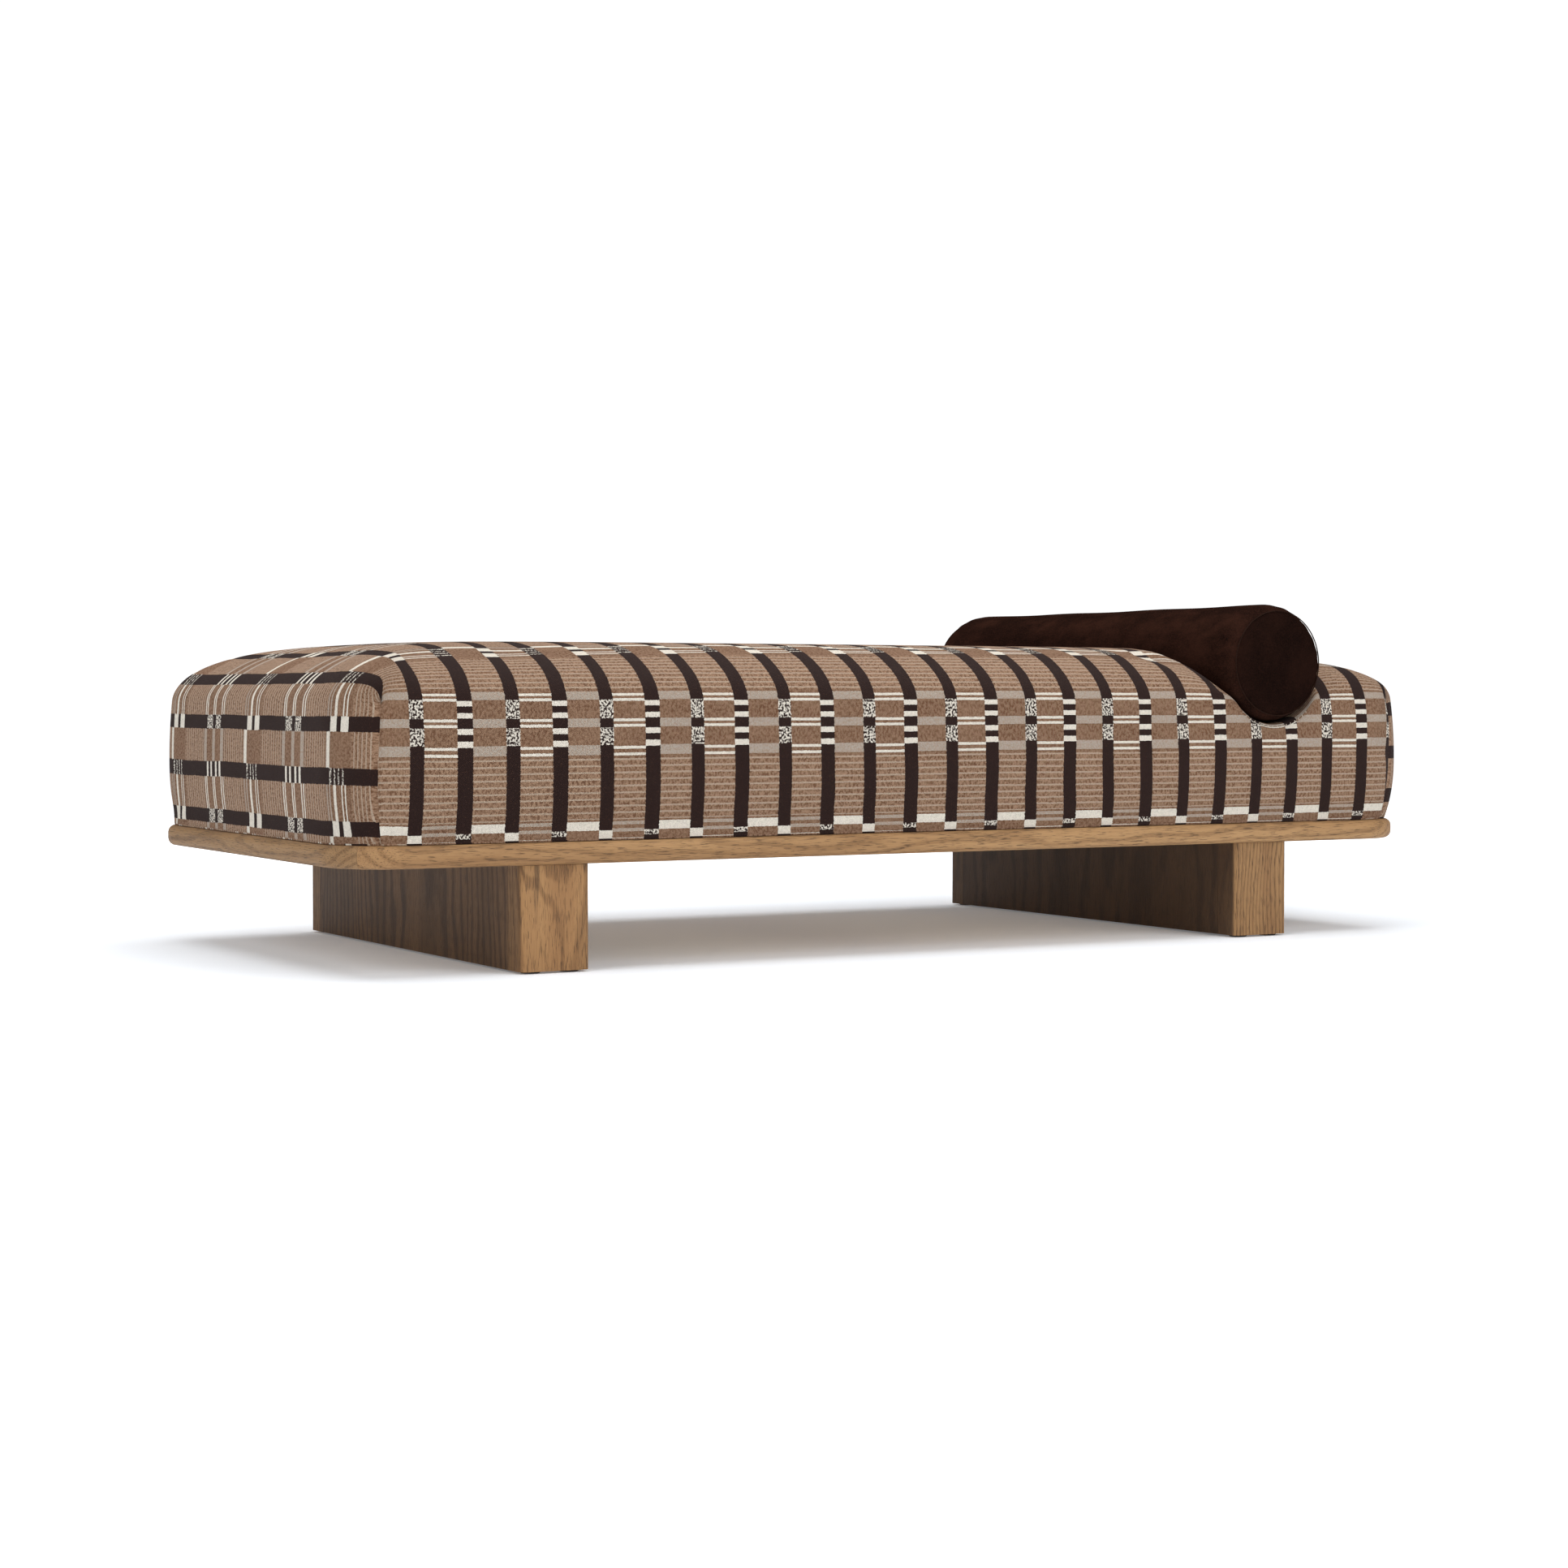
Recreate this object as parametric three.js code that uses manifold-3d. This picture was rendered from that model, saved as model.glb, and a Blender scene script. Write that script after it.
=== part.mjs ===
// A daybed: an oak plinth on two box legs, a fitted mattress block with a groove across it,
// and a loose bolster that lies in the groove. Millimetres, +Z up, +X towards the head end.
import * as THREE from "three";
import { mergeVertices } from "three/addons/utils/BufferGeometryUtils.js";
import Module from "manifold-3d";

const wasm = await Module();
wasm.setup();

// Driving dimensions
const LENGTH = 2000;
const WIDTH = 920;
const PLAN_RADIUS = 105;
const GAP = 0.3;

const GLIDE_HEIGHT = 3;
const GLIDE_RADIUS = 15;
const GLIDE_INSET = 25.5;
const UNDERSIDE = 162;
const PLINTH_THICKNESS = 34;
const DECK_TOP = UNDERSIDE + PLINTH_THICKNESS;
const EDGE_RADIUS = 12;
const RAIL_WIDTH = 120;
const REBATE = 12;
const PANEL_THICKNESS = 18;
const BEARER_WIDTH = 150;

const LEG_X = 664;
const LEG_THICKNESS = 114;
const LEG_DEPTH = 896;
const LEG_CORNER = 11;
const POST_DEPTH = 45;
const BOARD_THICKNESS = 20;
const TOP_RAIL_THICKNESS = 25;
const BOTTOM_RAIL_THICKNESS = 18;

const BOLT = { headRadius: 8, headHeight: 4, shankRadius: 4, length: 55, spread: 260 };
const SCREW = { headRadius: 6, headHeight: 3, shankRadius: 2.5, length: 26, x: 350, y: 250 };

const MATTRESS_INSET = 12;
const MATTRESS_BULGE = 15;
const MATTRESS_PLAN_RADIUS = 132;
const MATTRESS_SHOULDER = 412;
const MATTRESS_EDGE = 476;
const MATTRESS_CROWN = 491;
const SHOULDER_RUN = 95;
const LIP_RUN = 110;
const LIP_DROP = 54;
const COVER_THICKNESS = 3;
const BASE_BOARD_THICKNESS = 12;

const BOLSTER_X = 683;
const BOLSTER_Z = 468.5;
const BOLSTER_RADIUS = 101.5;
const BOLSTER_HALF_LENGTH = 458;
const GROOVE_RADIUS = 104;
const TICK = 2;
const PIPING_RADIUS = 3;
const DISC_THICKNESS = 3;
const DISC_DOME = 6;
const ZIP = { angle: 25, halfWidth: 6.5, halfLength: 380, tape: 1.6 };
const SLIDER = { length: 14, width: 9, height: 3.5, pullLength: 26, pullWidth: 5, pullHeight: 1.5 };

const CURVE_STEPS = 6;
const EDGE_STEPS = 8;
const ROUND_SEGMENTS = 64;
const PIN_SEGMENTS = 12;
const HOLE_SEGMENTS = 16;
const GLIDE_SEGMENTS = 20;

// Materials
function finish(color, roughness, metalness = 0) {
  return new THREE.MeshStandardMaterial({ color, roughness, metalness });
}

const OAK = finish(0xa67d50, 0.55);
const PLYWOOD = finish(0xc9a878, 0.7);
const WEAVE = finish(0x9c8068, 0.95);
const FOAM = finish(0xe8dfc4, 0.95);
const VELVET = finish(0x2e1c17, 0.9);
const FILLING = finish(0xe6e2da, 0.95);
const STEEL = finish(0x9a9da1, 0.35, 1);
const NYLON = finish(0x1c1b1a, 0.6);
const TAPE = finish(0x2a1d18, 0.85);

// Helpers: closed geometries to solids and back
function toSolid(geometry) {
  const bare = geometry.clone();
  bare.deleteAttribute("normal");
  bare.deleteAttribute("uv");
  const merged = mergeVertices(bare, 1e-3);
  return new wasm.Manifold(new wasm.Mesh({
    numProp: 3,
    vertProperties: Float32Array.from(merged.attributes.position.array),
    triVerts: Uint32Array.from(merged.index.array),
  }));
}

function toGeometry(solid) {
  const { vertProperties, triVerts } = solid.getMesh();
  const geometry = new THREE.BufferGeometry();
  geometry.setAttribute("position", new THREE.BufferAttribute(vertProperties, 3));
  geometry.setIndex(new THREE.BufferAttribute(triVerts, 1));
  geometry.computeVertexNormals();
  return geometry;
}

function box(x0, x1, y0, y1, z0, z1) {
  const geometry = new THREE.BoxGeometry(x1 - x0, y1 - y0, z1 - z0);
  return geometry.translate((x0 + x1) / 2, (y0 + y1) / 2, (z0 + z1) / 2);
}

function prism(shape, z0, z1) {
  const options = { depth: z1 - z0, bevelEnabled: false, curveSegments: CURVE_STEPS };
  return new THREE.ExtrudeGeometry(shape, options).translate(0, 0, z0);
}

function roundedPlan(length, width, radius) {
  const x = length / 2 - radius;
  const y = width / 2 - radius;
  const quarter = Math.PI / 2;
  const shape = new THREE.Shape();
  shape.absarc(x, y, radius, 0, quarter);
  shape.absarc(-x, y, radius, quarter, 2 * quarter);
  shape.absarc(-x, -y, radius, 2 * quarter, 3 * quarter);
  shape.absarc(x, -y, radius, 3 * quarter, 4 * quarter);
  return shape;
}

// A profile drawn as (across, up), extruded along Y (alongY) or along X.
function profileAlongY(shape, halfLength) {
  return prism(shape, -halfLength, halfLength).rotateX(Math.PI / 2);
}

function profileAlongX(shape, halfLength) {
  return profileAlongY(shape, halfLength).rotateZ(Math.PI / 2);
}

// Points are (radius, height) pairs, turned about Z, or about Y for the bolster.
function turned(points, segments) {
  return roundAlongY(points, segments).rotateX(Math.PI / 2);
}

function roundAlongY(points, segments = ROUND_SEGMENTS) {
  const outline = points.map(([radius, height]) => new THREE.Vector2(radius, height));
  return new THREE.LatheGeometry(outline, segments);
}

const model = new THREE.Group();

function add(name, geometry, material, parent = model) {
  const mesh = new THREE.Mesh(geometry, material);
  mesh.name = name;
  parent.add(mesh);
  return mesh;
}

// Fasteners
function headedPin({ headRadius, headHeight, shankRadius, length }) {
  const outline = [[0, 0], [headRadius, 0], [headRadius, -headHeight]];
  outline.push([shankRadius, -headHeight], [shankRadius, -length], [0, -length]);
  return turned(outline.reverse(), PIN_SEGMENTS);
}

function roundHole(radius, x, y, z0, z1) {
  const hole = new THREE.CylinderGeometry(radius, radius, z1 - z0, HOLE_SEGMENTS).rotateX(Math.PI / 2);
  return toSolid(hole.translate(x, y, (z0 + z1) / 2));
}

function boltPlaces() {
  const places = [];
  for (const x of [-LEG_X, LEG_X]) {
    for (const y of [-BOLT.spread, 0, BOLT.spread]) places.push([x, y]);
  }
  return places;
}

function screwPlaces() {
  const places = [];
  for (const x of [-SCREW.x, SCREW.x]) {
    for (const y of [-SCREW.y, SCREW.y]) places.push([x, y]);
  }
  return places;
}

function withBoltHoles(geometry) {
  let solid = toSolid(geometry);
  const headFloor = DECK_TOP - BOLT.headHeight - GAP;
  const tip = DECK_TOP - BOLT.length - GAP;
  for (const [x, y] of boltPlaces()) {
    solid = solid.subtract(roundHole(BOLT.shankRadius + GAP, x, y, tip, DECK_TOP + 1));
    solid = solid.subtract(roundHole(BOLT.headRadius + GAP, x, y, headFloor, DECK_TOP + 1));
  }
  return solid;
}

function withScrewHoles(solid) {
  const bottom = DECK_TOP - PANEL_THICKNESS - 1;
  const tip = DECK_TOP - PANEL_THICKNESS - SCREW.headHeight + SCREW.length + GAP;
  for (const [x, y] of screwPlaces()) {
    solid = solid.subtract(roundHole(SCREW.shankRadius + GAP, x, y, bottom, tip));
  }
  return solid;
}

// Plinth
function plinthSlab() {
  const options = {
    depth: PLINTH_THICKNESS - 2 * EDGE_RADIUS,
    bevelEnabled: true,
    bevelThickness: EDGE_RADIUS,
    bevelSize: EDGE_RADIUS,
    bevelOffset: -EDGE_RADIUS,
    bevelSegments: 4,
    curveSegments: EDGE_STEPS,
  };
  const slab = new THREE.ExtrudeGeometry(roundedPlan(LENGTH, WIDTH, PLAN_RADIUS), options);
  const inner = [LENGTH / 2 - RAIL_WIDTH, WIDTH / 2 - RAIL_WIDTH];
  const rebateFloor = DECK_TOP - PANEL_THICKNESS - GAP;
  const opening = box(-inner[0], inner[0], -inner[1], inner[1], 0, DECK_TOP + 1);
  const rebateX = inner[0] + REBATE;
  const rebateY = inner[1] + REBATE;
  const rebate = box(-rebateX, rebateX, -rebateY, rebateY, rebateFloor, DECK_TOP + 1);
  const solid = toSolid(slab.translate(0, 0, UNDERSIDE + EDGE_RADIUS));
  return solid.subtract(toSolid(opening)).subtract(toSolid(rebate));
}

function mitredBlank(halfLong, halfShort, side) {
  const trim = GAP / Math.SQRT2;
  const blank = new THREE.Shape();
  blank.moveTo(-halfLong + trim, -halfShort);
  blank.lineTo(halfLong - trim, -halfShort);
  blank.lineTo(halfLong - RAIL_WIDTH - trim, -halfShort + RAIL_WIDTH);
  blank.lineTo(-halfLong + RAIL_WIDTH + trim, -halfShort + RAIL_WIDTH);
  const geometry = prism(blank, UNDERSIDE - 1, DECK_TOP + 1);
  return toSolid(geometry.rotateZ(side));
}

function addPlinth() {
  const slab = plinthSlab();
  const rails = [
    ["front_rail", LENGTH / 2, WIDTH / 2, 0],
    ["head_rail", WIDTH / 2, LENGTH / 2, Math.PI / 2],
    ["back_rail", LENGTH / 2, WIDTH / 2, Math.PI],
    ["foot_rail", WIDTH / 2, LENGTH / 2, -Math.PI / 2],
  ];
  for (const [name, halfLong, halfShort, side] of rails) {
    add(name, toGeometry(slab.intersect(mitredBlank(halfLong, halfShort, side))), OAK);
  }
  const x = LENGTH / 2 - RAIL_WIDTH;
  const y = WIDTH / 2 - RAIL_WIDTH;
  const panelX = x + REBATE - GAP;
  const panelY = y + REBATE - GAP;
  const panel = box(-panelX, panelX, -panelY, panelY, DECK_TOP - PANEL_THICKNESS, DECK_TOP);
  add("deck_panel", toGeometry(withScrewHoles(withBoltHoles(panel))), PLYWOOD);
  const bearerTop = DECK_TOP - PANEL_THICKNESS - GAP;
  for (const [name, centre] of [["foot_bearer", -LEG_X], ["middle_bearer", 0], ["head_bearer", LEG_X]]) {
    const x0 = centre - BEARER_WIDTH / 2;
    const bearer = box(x0, x0 + BEARER_WIDTH, -y + GAP, y - GAP, UNDERSIDE, bearerTop);
    add(name, toGeometry(withBoltHoles(bearer)), PLYWOOD);
  }
}

// Legs
function postOutline() {
  const half = LEG_THICKNESS / 2;
  const inside = half - LEG_CORNER;
  const shape = new THREE.Shape();
  shape.moveTo(half, POST_DEPTH);
  shape.lineTo(-half, POST_DEPTH);
  shape.lineTo(-half, LEG_CORNER);
  shape.absarc(-inside, LEG_CORNER, LEG_CORNER, Math.PI, 1.5 * Math.PI);
  shape.absarc(inside, LEG_CORNER, LEG_CORNER, 1.5 * Math.PI, 2 * Math.PI);
  shape.closePath();
  return shape;
}

function addLeg(prefix, legX) {
  const floor = GLIDE_HEIGHT + GAP;
  const top = UNDERSIDE - GAP;
  const half = LEG_THICKNESS / 2;
  const boardEnd = LEG_DEPTH / 2 - POST_DEPTH - GAP;
  const inner = half - BOARD_THICKNESS - GAP;
  const front = prism(postOutline(), floor, top).translate(legX, -LEG_DEPTH / 2, 0);
  const back = prism(postOutline(), floor, top).rotateZ(Math.PI).translate(legX, LEG_DEPTH / 2, 0);
  add(`${prefix}_front_post`, front, OAK);
  add(`${prefix}_back_post`, back, OAK);
  const facing = Math.sign(legX);
  const outerX = [legX + facing * (half - BOARD_THICKNESS), legX + facing * half].sort((a, b) => a - b);
  const innerX = [legX - facing * (half - BOARD_THICKNESS), legX - facing * half].sort((a, b) => a - b);
  add(`${prefix}_outer_board`, box(...outerX, -boardEnd, boardEnd, floor, top), OAK);
  add(`${prefix}_inner_board`, box(...innerX, -boardEnd, boardEnd, floor, top), OAK);
  const topRail = box(legX - inner, legX + inner, -boardEnd, boardEnd, top - TOP_RAIL_THICKNESS, top);
  add(`${prefix}_top_rail`, toGeometry(withBoltHoles(topRail)), PLYWOOD);
  const railTop = floor + BOTTOM_RAIL_THICKNESS;
  const bottomRail = box(legX - inner, legX + inner, -boardEnd, boardEnd, floor, railTop);
  add(`${prefix}_bottom_rail`, bottomRail, PLYWOOD);
}

function addGlides(prefix, legX) {
  const x = LEG_THICKNESS / 2 - GLIDE_INSET;
  const y = LEG_DEPTH / 2 - POST_DEPTH / 2;
  const corners = [
    ["front_left", -x, -y],
    ["front_right", x, -y],
    ["back_left", -x, y],
    ["back_right", x, y],
  ];
  const rim = GLIDE_RADIUS - 1;
  const outline = [[0, 0], [rim, 0], [GLIDE_RADIUS, 1], [GLIDE_RADIUS, GLIDE_HEIGHT], [0, GLIDE_HEIGHT]];
  for (const [corner, dx, dy] of corners) {
    const glide = turned(outline, GLIDE_SEGMENTS);
    add(`${prefix}_glide_${corner}`, glide.translate(legX + dx, dy, 0), NYLON);
  }
}

function addFasteners() {
  boltPlaces().forEach(([x, y], index) => {
    add(`leg_bolt_${index + 1}`, headedPin(BOLT).translate(x, y, DECK_TOP), STEEL);
  });
  const head = DECK_TOP - PANEL_THICKNESS - SCREW.headHeight;
  screwPlaces().forEach(([x, y], index) => {
    const screw = headedPin(SCREW).rotateX(Math.PI).translate(x, y, head - GAP);
    add(`mattress_screw_${index + 1}`, screw, STEEL);
  });
}

// Mattress
function leftWall(shape, reach, edge) {
  const inner = reach - SHOULDER_RUN;
  const middle = (DECK_TOP + MATTRESS_SHOULDER) / 2;
  const bend = (MATTRESS_SHOULDER + edge) / 2;
  shape.moveTo(-reach, UNDERSIDE);
  shape.lineTo(-reach, DECK_TOP);
  shape.quadraticCurveTo(-reach - 2 * MATTRESS_BULGE, middle, -reach, MATTRESS_SHOULDER);
  shape.bezierCurveTo(-reach, bend, -inner - SHOULDER_RUN / 2, edge, -inner, edge);
}

function rightWall(shape, reach, edge) {
  const inner = reach - SHOULDER_RUN;
  const middle = (DECK_TOP + MATTRESS_SHOULDER) / 2;
  const bend = (MATTRESS_SHOULDER + edge) / 2;
  shape.bezierCurveTo(inner + SHOULDER_RUN / 2, edge, reach, bend, reach, MATTRESS_SHOULDER);
  shape.quadraticCurveTo(reach + 2 * MATTRESS_BULGE, middle, reach, DECK_TOP);
  shape.lineTo(reach, UNDERSIDE);
  shape.closePath();
}

function sideOutline(inset) {
  const reach = LENGTH / 2 - MATTRESS_INSET - inset;
  const edge = MATTRESS_EDGE - inset;
  const crown = 2 * (MATTRESS_CROWN - inset) - edge;
  const grooveEdge = [BOLSTER_X - GROOVE_RADIUS - inset + 2, BOLSTER_X + GROOVE_RADIUS + inset - 2];
  const lipFoot = edge - LIP_DROP;
  const lipBend = edge - LIP_DROP / 3;
  const shape = new THREE.Shape();
  leftWall(shape, reach, edge);
  const lipStart = grooveEdge[0] - LIP_RUN;
  shape.quadraticCurveTo((SHOULDER_RUN - reach + lipStart) / 2, crown, lipStart, edge);
  shape.bezierCurveTo(lipStart + LIP_RUN / 2, edge, grooveEdge[0], lipBend, grooveEdge[0], lipFoot);
  shape.lineTo(grooveEdge[1], lipFoot);
  const headPeak = (grooveEdge[1] + reach - SHOULDER_RUN) / 2;
  const headTop = edge - MATTRESS_INSET / 2;
  const headBend = headTop - LIP_DROP / 3;
  shape.bezierCurveTo(grooveEdge[1], headBend, headPeak - LIP_RUN / 4, headTop, headPeak, headTop);
  rightWall(shape, reach, headTop);
  return shape;
}

function crossOutline(inset) {
  const reach = WIDTH / 2 - MATTRESS_INSET - inset;
  const edge = MATTRESS_EDGE - inset;
  const crown = 2 * (MATTRESS_CROWN + 1 - inset) - edge;
  const shape = new THREE.Shape();
  leftWall(shape, reach, edge);
  shape.quadraticCurveTo(0, crown, reach - SHOULDER_RUN, edge);
  rightWall(shape, reach, edge);
  return shape;
}

function mattressBlock(inset, floor) {
  const outward = MATTRESS_BULGE - MATTRESS_INSET - inset;
  const plan = roundedPlan(LENGTH + 2 * outward, WIDTH + 2 * outward, MATTRESS_PLAN_RADIUS - inset);
  const prismSolid = toSolid(prism(plan, floor, MATTRESS_CROWN + 10));
  const sides = toSolid(profileAlongY(sideOutline(inset), WIDTH));
  const cross = toSolid(profileAlongX(crossOutline(inset), LENGTH));
  const radius = GROOVE_RADIUS + inset;
  const groove = new THREE.CylinderGeometry(radius, radius, 2 * WIDTH, ROUND_SEGMENTS);
  groove.translate(BOLSTER_X, 0, BOLSTER_Z);
  return prismSolid.intersect(sides).intersect(cross).subtract(toSolid(groove));
}

function addMattress() {
  const floor = DECK_TOP + GAP;
  const boardTop = floor + BASE_BOARD_THICKNESS;
  const outer = mattressBlock(0, floor);
  const cavity = mattressBlock(COVER_THICKNESS, floor - 10);
  add("mattress_cover", toGeometry(outer.subtract(cavity)), WEAVE);
  const boardInset = COVER_THICKNESS + MATTRESS_INSET + 2 * GAP;
  const boardSize = [LENGTH - 2 * boardInset, WIDTH - 2 * boardInset];
  const board = prism(roundedPlan(...boardSize, PLAN_RADIUS - boardInset), floor, boardTop);
  add("base_board", toGeometry(withScrewHoles(toSolid(board))), PLYWOOD);
  const foam = mattressBlock(COVER_THICKNESS + GAP, boardTop + GAP);
  const left = BOLSTER_X - GROOVE_RADIUS;
  const right = BOLSTER_X + GROOVE_RADIUS;
  const slices = [
    ["seat_foam", -LENGTH, left - GAP],
    ["cradle_foam", left, right],
    ["head_foam", right + GAP, LENGTH],
  ];
  for (const [name, x0, x1] of slices) {
    const slice = toSolid(box(x0, x1, -WIDTH, WIDTH, 0, LENGTH));
    add(name, toGeometry(foam.intersect(slice)), FOAM);
  }
}

// Bolster, drawn along Y about its own axis and then placed by its group
function sector(innerRadius, outerRadius, halfWidth) {
  const centre = THREE.MathUtils.degToRad(ZIP.angle);
  const half = halfWidth / BOLSTER_RADIUS;
  const shape = new THREE.Shape();
  shape.absarc(0, 0, outerRadius, centre - half, centre + half);
  shape.absarc(0, 0, innerRadius, centre + half, centre - half, true);
  shape.closePath();
  return shape;
}

function addBolster() {
  const bolster = new THREE.Group();
  bolster.position.set(BOLSTER_X, 0, BOLSTER_Z);
  model.add(bolster);
  const tubeEnd = BOLSTER_HALF_LENGTH - 2 * PIPING_RADIUS;
  const bore = BOLSTER_RADIUS - TICK;
  const wall = [[bore, -tubeEnd], [BOLSTER_RADIUS, -tubeEnd], [BOLSTER_RADIUS, tubeEnd], [bore, tubeEnd]];
  wall.push(wall[0]);
  const cut = sector(bore - 1, BOLSTER_RADIUS + 1, ZIP.halfWidth + GAP);
  const tube = toSolid(roundAlongY(wall)).subtract(toSolid(profileAlongY(cut, ZIP.halfLength + GAP)));
  add("bolster_tube", toGeometry(tube), VELVET, bolster);
  const stuffing = bore - GAP;
  const fillEnd = tubeEnd - GAP;
  const filling = roundAlongY([[0, -fillEnd], [stuffing, -fillEnd], [stuffing, fillEnd], [0, fillEnd]]);
  add("bolster_filling", filling, FILLING, bolster);
  const tape = sector(BOLSTER_RADIUS - ZIP.tape - GAP / 2, BOLSTER_RADIUS - GAP / 2, ZIP.halfWidth);
  add("zip_tape", profileAlongY(tape, ZIP.halfLength), TAPE, bolster);
  for (const [side, turn] of [["front", 0], ["back", Math.PI]]) {
    const end = new THREE.Group();
    end.rotation.z = turn;
    bolster.add(end);
    addBolsterEnd(side, end, tubeEnd);
  }
  addZipSlider(bolster);
}

function addBolsterEnd(side, parent, tubeEnd) {
  const ringRadius = BOLSTER_RADIUS + 1 - PIPING_RADIUS;
  const ring = new THREE.TorusGeometry(ringRadius, PIPING_RADIUS, 8, ROUND_SEGMENTS).rotateX(Math.PI / 2);
  add(`bolster_piping_${side}`, ring.translate(0, -tubeEnd - PIPING_RADIUS - GAP, 0), VELVET, parent);
  const discRadius = ringRadius - PIPING_RADIUS - GAP;
  const outline = [[0, 0], [discRadius, 0], [discRadius, DISC_THICKNESS]];
  for (const step of [0.75, 0.5, 0.25, 0]) {
    outline.push([discRadius * step, DISC_THICKNESS + DISC_DOME * (1 - step * step)]);
  }
  const disc = turned(outline, ROUND_SEGMENTS).rotateX(Math.PI / 2);
  add(`bolster_end_${side}`, disc.translate(0, -tubeEnd, 0), VELVET, parent);
}

function addZipSlider(bolster) {
  const zip = new THREE.Group();
  zip.rotation.y = -THREE.MathUtils.degToRad(ZIP.angle);
  bolster.add(zip);
  const { length, width, height, pullLength, pullWidth, pullHeight } = SLIDER;
  const foot = BOLSTER_RADIUS + GAP;
  const start = -ZIP.halfLength + length / 2;
  const body = toSolid(box(foot, foot + height, -length / 2, length / 2, -width / 2, width / 2));
  const pull = toSolid(box(
    foot + height - pullHeight / 2, foot + height + pullHeight / 2,
    0, pullLength, -pullWidth / 2, pullWidth / 2,
  ));
  const slider = add("zip_slider", toGeometry(body.add(pull)), STEEL, zip);
  slider.position.y = start;
}

addPlinth();
addLeg("foot_leg", -LEG_X);
addLeg("head_leg", LEG_X);
addGlides("foot_leg", -LEG_X);
addGlides("head_leg", LEG_X);
addFasteners();
addMattress();
addBolster();

export default model;
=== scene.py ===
"""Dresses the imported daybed: striped mattress, velvet bolster, oak plinth and legs, plain studio."""

import bisect
import logging
import math
from collections.abc import Iterable, Sequence
from dataclasses import dataclass, field
from enum import Enum
from typing import Any

import bmesh
import bpy
from mathutils import Euler, Matrix, Vector

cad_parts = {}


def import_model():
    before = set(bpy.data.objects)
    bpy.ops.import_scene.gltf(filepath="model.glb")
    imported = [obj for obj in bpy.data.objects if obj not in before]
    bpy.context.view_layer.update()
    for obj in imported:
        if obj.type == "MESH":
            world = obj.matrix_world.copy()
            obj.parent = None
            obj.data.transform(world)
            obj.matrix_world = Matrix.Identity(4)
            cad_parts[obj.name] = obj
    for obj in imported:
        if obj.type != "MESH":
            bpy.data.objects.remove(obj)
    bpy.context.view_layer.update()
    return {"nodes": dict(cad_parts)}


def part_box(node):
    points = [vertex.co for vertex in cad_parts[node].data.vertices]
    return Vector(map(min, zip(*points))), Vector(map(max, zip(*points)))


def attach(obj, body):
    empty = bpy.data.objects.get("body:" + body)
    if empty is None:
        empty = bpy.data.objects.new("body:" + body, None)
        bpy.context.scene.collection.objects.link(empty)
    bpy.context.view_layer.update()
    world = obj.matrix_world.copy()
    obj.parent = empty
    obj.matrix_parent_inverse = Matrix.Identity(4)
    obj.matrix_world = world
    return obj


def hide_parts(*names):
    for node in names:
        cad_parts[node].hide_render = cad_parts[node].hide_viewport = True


log = logging.getLogger("daybed")

Colour = tuple[float, float, float, float]
Span = tuple[float, float]
Rows = tuple[Span, ...]

SENSOR_WIDTH = 36.0
FULL_TURN = 2.0 * math.pi
TINY = 1.0e-6
TINY_AREA = 1.0e-9
CLOTH_SETTINGS = {
    "quality": 4,
    "mass": 0.4,
    "tension_stiffness": 25.0,
    "compression_stiffness": 25.0,
    "shear_stiffness": 12.0,
    "bending_stiffness": 2.0,
    "use_pressure": True,
    "uniform_pressure_force": 4.0,
}


class Grain(Enum):
    """Which way the grain of a board runs."""

    ALONG_LENGTH = "along_length"
    ALONG_WIDTH = "along_width"
    UPRIGHT = "upright"


class Panel(Enum):
    """The part of the mattress cover that a face belongs to."""

    TOP = "top"
    LONG_SIDE = "long_side"
    SHORT_END = "short_end"
    BASE = "base"


def linear(red: float, green: float, blue: float) -> Colour:
    """Turns a colour from 0 to 255 as seen into the linear one that a shader takes.

    Args:
        red: Red as seen, 0 to 255.
        green: Green as seen, 0 to 255.
        blue: Blue as seen, 0 to 255.

    Returns:
        The linear colour with full alpha.
    """
    knee, slope, lift, gamma = 0.04045, 12.92, 0.055, 2.4

    def channel(value: float) -> float:
        """One channel, made linear."""
        share = value / 255.0
        return share / slope if share <= knee else ((share + lift) / (1.0 + lift)) ** gamma

    return (channel(red), channel(green), channel(blue), 1.0)


def ease(value: float, low: float, high: float) -> float:
    """Climbs smoothly from 0 at low to 1 at high."""
    share = min(max((value - low) / (high - low), 0.0), 1.0)
    return share * share * (3.0 - 2.0 * share)


@dataclass(frozen=True)
class Speckle:
    """A noise: features per metre along each axis, octaves, and how strong the finer ones are.

    On a cloth map, which has two axes, third is the place on the third one.
    """

    scale: tuple[float, ...]
    detail: float = 2.0
    roughness: float = 0.5
    third: float = 0.0


@dataclass(frozen=True)
class Wash:
    """A colour laid over another: none below low, the full strength above high."""

    low: float
    high: float
    strength: float = 1.0


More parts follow.
